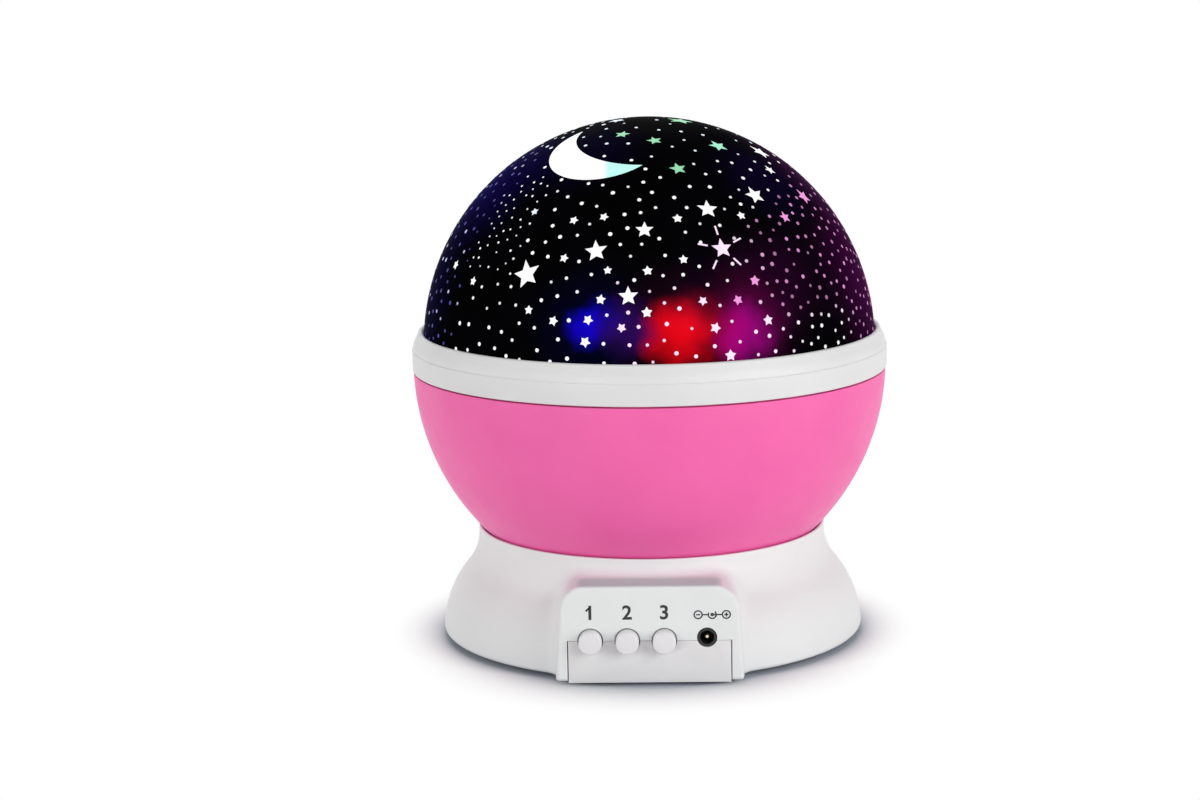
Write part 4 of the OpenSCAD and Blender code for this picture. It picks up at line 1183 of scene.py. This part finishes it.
# %% Print the numbers
ink_t = 0.03
number_h, number_bolder, number_z = 5.0, 0.11, 18.7
flag_l, flag_half, flag_slope, flag_root_x, flag_root_z = 1.35, 0.24, -42, -0.02, 1.52
black_ink = moulded("black_ink", (0.012, 0.012, 0.013), (0.02, 0.02, 0.02), (0.4, 0.5))
for k, x in enumerate(button_xs, 1):
    bpy.ops.object.select_all(action="DESELECT")
    bpy.ops.object.text_add(rotation=(math.pi / 2, 0, 0))
    text = bpy.context.object.data
    text.body = str(k)
    text.size = number_h * MM
    text.offset = number_bolder * MM
    text.align_x = "CENTER"
    text.align_y = "CENTER"
    text.extrude = ink_t * MM / 2
    bpy.ops.object.convert(target="MESH")
    number = bpy.context.object
    number.name = f"number_{k}"
    if k == 1:
        flag = block("flag", (-flag_l, -ink_t / 2, -flag_half), (0, ink_t / 2, flag_half))
        flag.rotation_euler.y = math.radians(flag_slope)
        joined([number, moved(flag, flag_root_x, 0, flag_root_z)], number.name)
    finished(moved(number, x, -panel_out - ink_t / 2, number_z), "base", "black_plastic", black_ink)

# %% Print the signs at the power socket
mark_x, mark_z, stroke = 15.6, 18.2, 0.34
ring_out, side_gap = 1.15, 3.5
minus_x, plus_x = mark_x - side_gap, mark_x + side_gap
dash_l, plus_arm, plus_up = 1.0, 0.36, 0.33
plus_line_start = 0.4


def ring_mark(name, x, out_r=ring_out, in_r=ring_out - stroke):
    return facing_front(turned(name, oblong(in_r, out_r, 0, ink_t), 40), x, -panel_out, mark_z)


def bar_mark(name, w, h, x, z=mark_z):
    return facing_front(block(name, (-w / 2, -h / 2, 0), (w / 2, h / 2, ink_t)), x, -panel_out, z)


sleeve = wedge("sleeve", oblong(ring_out - stroke, ring_out, 0, ink_t), 50, 260, 30)
signs = joined([
    ring_mark("minus_ring", minus_x),
    bar_mark("minus", dash_l, stroke, minus_x),
    ring_mark("plus_ring", plus_x),
    bar_mark("plus_flat", dash_l, stroke, plus_x),
    bar_mark("plus_upper", stroke, plus_arm, plus_x, mark_z + plus_up),
    bar_mark("plus_lower", stroke, plus_arm, plus_x, mark_z - plus_up),
    facing_front(sleeve, mark_x, -panel_out, mark_z),
    ring_mark("pin_dot", mark_x, 0.45, 0.05),
    bar_mark("minus_line", side_gap - 2 * ring_out, stroke, mark_x - side_gap / 2),
    bar_mark("plus_line", side_gap - ring_out - plus_line_start, stroke,
             mark_x + (side_gap - ring_out + plus_line_start) / 2),
], "power_signs")
finished(signs, "base", "black_plastic", black_ink)

# %% [markdown]
# ## Cover screws and feet
# Four screws hold the cover. Seen from below, a screw is a low round head with a cross
# recess, so one is turned, cut with two crossed bars and then copied to its four places.
# The rubber feet are short round pads with a rounded edge and a shallow hollow. An array
# modifier would need even steps, so the copies are set one by one.

# %% Copy a piece to several places
def copies_of(first, places, name):
    """One piece made of a master at the middle, copied to places (x, y) in millimetres."""
    made = []
    for x, y in places:
        pick(first)
        bpy.ops.object.duplicate()
        made.append(moved(bpy.context.object, x, y, 0))
    bpy.data.objects.remove(first)
    return joined(made, name)


# %% Turn the cover screws
screw_low, screw_high = (corner.z for corner in corners("cover_screws"))
head_r, head_crown_r, shank_r, shank_tip = 2.6, 4.2, 1.1, 0.6
head_top = screw_low + 1.6
head_outline = (
    [(0, screw_low)]
    + arc(0, screw_low + head_crown_r, head_crown_r, -90, -65, 5)[1:]
    + [(head_r - 0.15, screw_low + 0.5), (head_r, screw_low + 0.75), (head_r, head_top)]
    + [(shank_r, head_top), (shank_r, screw_high - shank_tip), (shank_r - 0.5, screw_high), (0, screw_high)]
)
screw = turned("screw", head_outline, 48)
cross_half, cross_w, cross_deep = 1.35, 0.3, 1.0
combine(screw, [
    block("slot", (-x, -y, screw_low - 1), (x, y, screw_low + cross_deep))
    for x, y in ((cross_half, cross_w), (cross_w, cross_half))])
screw_circle_r = 43
screw_ways = [math.radians(a) for a in (30, 150, 210, 330)]
screw_places = [(screw_circle_r * math.cos(a), screw_circle_r * math.sin(a)) for a in screw_ways]
screws = copies_of(smooth(screw), screw_places, "cover_screw_set")
print(len(screw_places), "cover screws")

# %% Turn the feet
pad_r, pad_edge_r, pad_hollow = 4.5, 0.35, 0.35
pad_high = corners("rubber_feet")[1]
pad_outline = (
    [(0, pad_hollow), (pad_r - 1.6, pad_hollow), (pad_r - 1.3, 0)]
    + arc(pad_r - pad_edge_r, pad_edge_r, pad_edge_r, -90, 0, 5)
    + [(pad_r, pad_high.z), (0, pad_high.z)]
)
pad_x, pad_y = pad_high.x - pad_r, pad_high.y - pad_r
pad_places = [(x, y) for x in (-pad_x, pad_x) for y in (-pad_y, pad_y)]
feet = copies_of(smooth(turned("foot", pad_outline, 64)), pad_places, "foot_pads")
finished(feet, "base", "foot_rubber", rubber, "rubber_feet")

# %% [markdown]
# ## Lamps and their board
# With the dome lifted, five round lamps stand on a white board. Each lamp is a clear cap with
# a flange and a round top. A cylinder joined to half a ball would show a seam, so the cap is
# turned from one outline. Beside each lamp sits the small resistor that sets its current,
# which is a block with its edges bevelled.

# %% Turn the lamps
LAMPS = {
    "warm": (1.0, 0.82, 0.55), "blue": (0.05, 0.1, 1.0), "red": (1.0, 0.03, 0.02),
    "pink": (1.0, 0.1, 0.6), "green": (0.05, 0.9, 0.15),
}
lamp_r, lamp_flange_t = 2.5, 1
lamp_low, lamp_high = corners("led_red")
lamp_flange_r = (lamp_high.x - lamp_low.x) / 2
flange_top = lamp_low.z + lamp_flange_t
lamp_outline = (
    [(0, lamp_low.z), (lamp_flange_r, lamp_low.z), (lamp_flange_r, flange_top - 0.15)]
    + [(lamp_flange_r - 0.1, flange_top), (lamp_r, flange_top)]
    + arc(0, lamp_high.z - lamp_r, lamp_r, 0, 90, 12)
)


def lamp_middle(tone):
    low, high = corners("led_" + tone)
    return (low + high) / 2


lamps = {}
for tone in LAMPS:
    lamp = smooth(turned(f"led_{tone}_cap", lamp_outline, 48))
    lamps[tone] = moved(lamp, *lamp_middle(tone).xy, 0)
print(len(lamps), "lamps")

# %% Add the resistors
chip_half_l, chip_half_w, chip_h, chip_out = 1.0, 0.6, 0.55, 14.5
board_top = corners("lamp_board")[1].z
resistors = []
for tone in LAMPS:
    way = lamp_middle(tone)
    a = math.atan2(way.y, way.x)
    low, high = (-chip_half_l, -chip_half_w, board_top), (chip_half_l, chip_half_w, board_top + chip_h)
    chip = round_edges(block("chip", low, high), 0.12)
    chip.rotation_euler.z = a
    resistors.append(moved(chip, chip_out * math.cos(a), chip_out * math.sin(a), 0))
finished(joined(resistors, "board_resistors"), "base", "black_plastic", black_plastic)

# %% [markdown]
# ## Grip on the cell door
# A thumb pushes the cell door open, so it gets a few low ridges where the thumb lies. They are
# bars with rounded edges, sunk a little into the door, which is simpler than to raise them
# out of its own faces and looks the same.

# %% Add the ridges
door_low = corners("cell_door")[0]
ridge_count, ridge_step, first_ridge = 5, 1.8, 8
ridge_half_l, ridge_half_w, ridge_proud, ridge_sunk = 6, 0.35, 0.3, 0.2
ridges = []
for k in range(ridge_count):
    y = door_low.y + first_ridge + ridge_step * k
    ridge = block(
        "ridge", (-ridge_half_l, y - ridge_half_w, door_low.z - ridge_proud),
        (ridge_half_l, y + ridge_half_w, door_low.z + ridge_sunk))
    ridges.append(round_edges(ridge, 0.2, 3))
finished(smooth(joined(ridges, "door_ridges")), "battery_door", "white_shell", white_plastic)

# %% [markdown]
# ## Construction pieces that stay
# Gears, boards, screws and springs have the right shape already. They could be copied and
# softened too, but most are hidden or tiny, so they only need a finish.

# %% Metal and lamp finishes
def brushed(name, colour, low, high, scale=500):
    """Metal with fine uneven shine."""
    material, tree = new_finish(name)
    wire(tree, shader_of(material), {
        "Metallic": 1,
        "Base Color": two_tones(tree, noise(tree, scale), [0.95 * c for c in colour], colour),
        "Roughness": ranged(tree, noise(tree, 2 * scale), low, high)})
    return material


def lens(name, colour):
    """A lit lamp: coloured plastic that glows."""
    material = moulded(name, colour, [0.9 * c for c in colour], (0.12, 0.2))
    tree = material.node_tree
    glow = two_tones(tree, noise(tree, 300), [0.85 * c for c in colour], colour)
    wire(tree, shader_of(material), {"Emission Color": glow, "Emission Strength": 1})
    return material


bright_steel = brushed("bright_steel", (0.62, 0.62, 0.64), 0.22, 0.34)
motor_can = brushed("motor_can", (0.58, 0.59, 0.6), 0.28, 0.42)
brass = brushed("brass", (0.86, 0.78, 0.6), 0.16, 0.26)
finished(screws, "base", "screw_steel", bright_steel, "cover_screws")
for tone, colour in LAMPS.items():
    lit = lens(f"lens_{tone}_glow", colour)
    finished(lamps[tone], "base", "lens_" + tone, lit, "led_" + tone)

# %% Dress the construction pieces
green_board = moulded("green_board", (0.02, 0.2, 0.07), (0.03, 0.26, 0.09), (0.3, 0.4))
white_board = moulded("white_board", (0.8, 0.8, 0.79), (0.85, 0.85, 0.84), (0.35, 0.45))
white_lead = moulded("white_lead", (0.74, 0.74, 0.72), (0.8, 0.8, 0.78), (0.4, 0.5))
red_lead = moulded("red_lead", (0.5, 0.03, 0.03), (0.6, 0.04, 0.035), (0.35, 0.45))
KEPT = [
    (black_plastic, ["dc_jack", "switch_bodies"]),
    (brass, ["jack_pin"]),
    (green_board, ["control_board"]),
    (white_board, ["lamp_board"]),
    (motor_can, ["gear_motor"]),
    (bright_steel, ["motor_screws", "motor_shaft", "post_screws", "gear_screws", "retaining_clip"]),
    (bright_steel, ["contact_plates", "cell_springs"]),
    (deck_plastic, ["lamp_post", "lamp_holder", "inner_deck", "dome_clamp"]),
    (acetal, ["thrust_washer", "globe_gear", "drive_pinion", "plunger_1", "plunger_2", "plunger_3"]),
    (white_lead, ["lamp_lead"]),
    (red_lead, ["motor_lead", "cell_lead"]),
]
for material, kept in KEPT:
    for node in kept:
        for place in frame["nodes"][node].material_slots:
            place.material = material
print(sum(len(kept) for material, kept in KEPT), "construction pieces dressed")
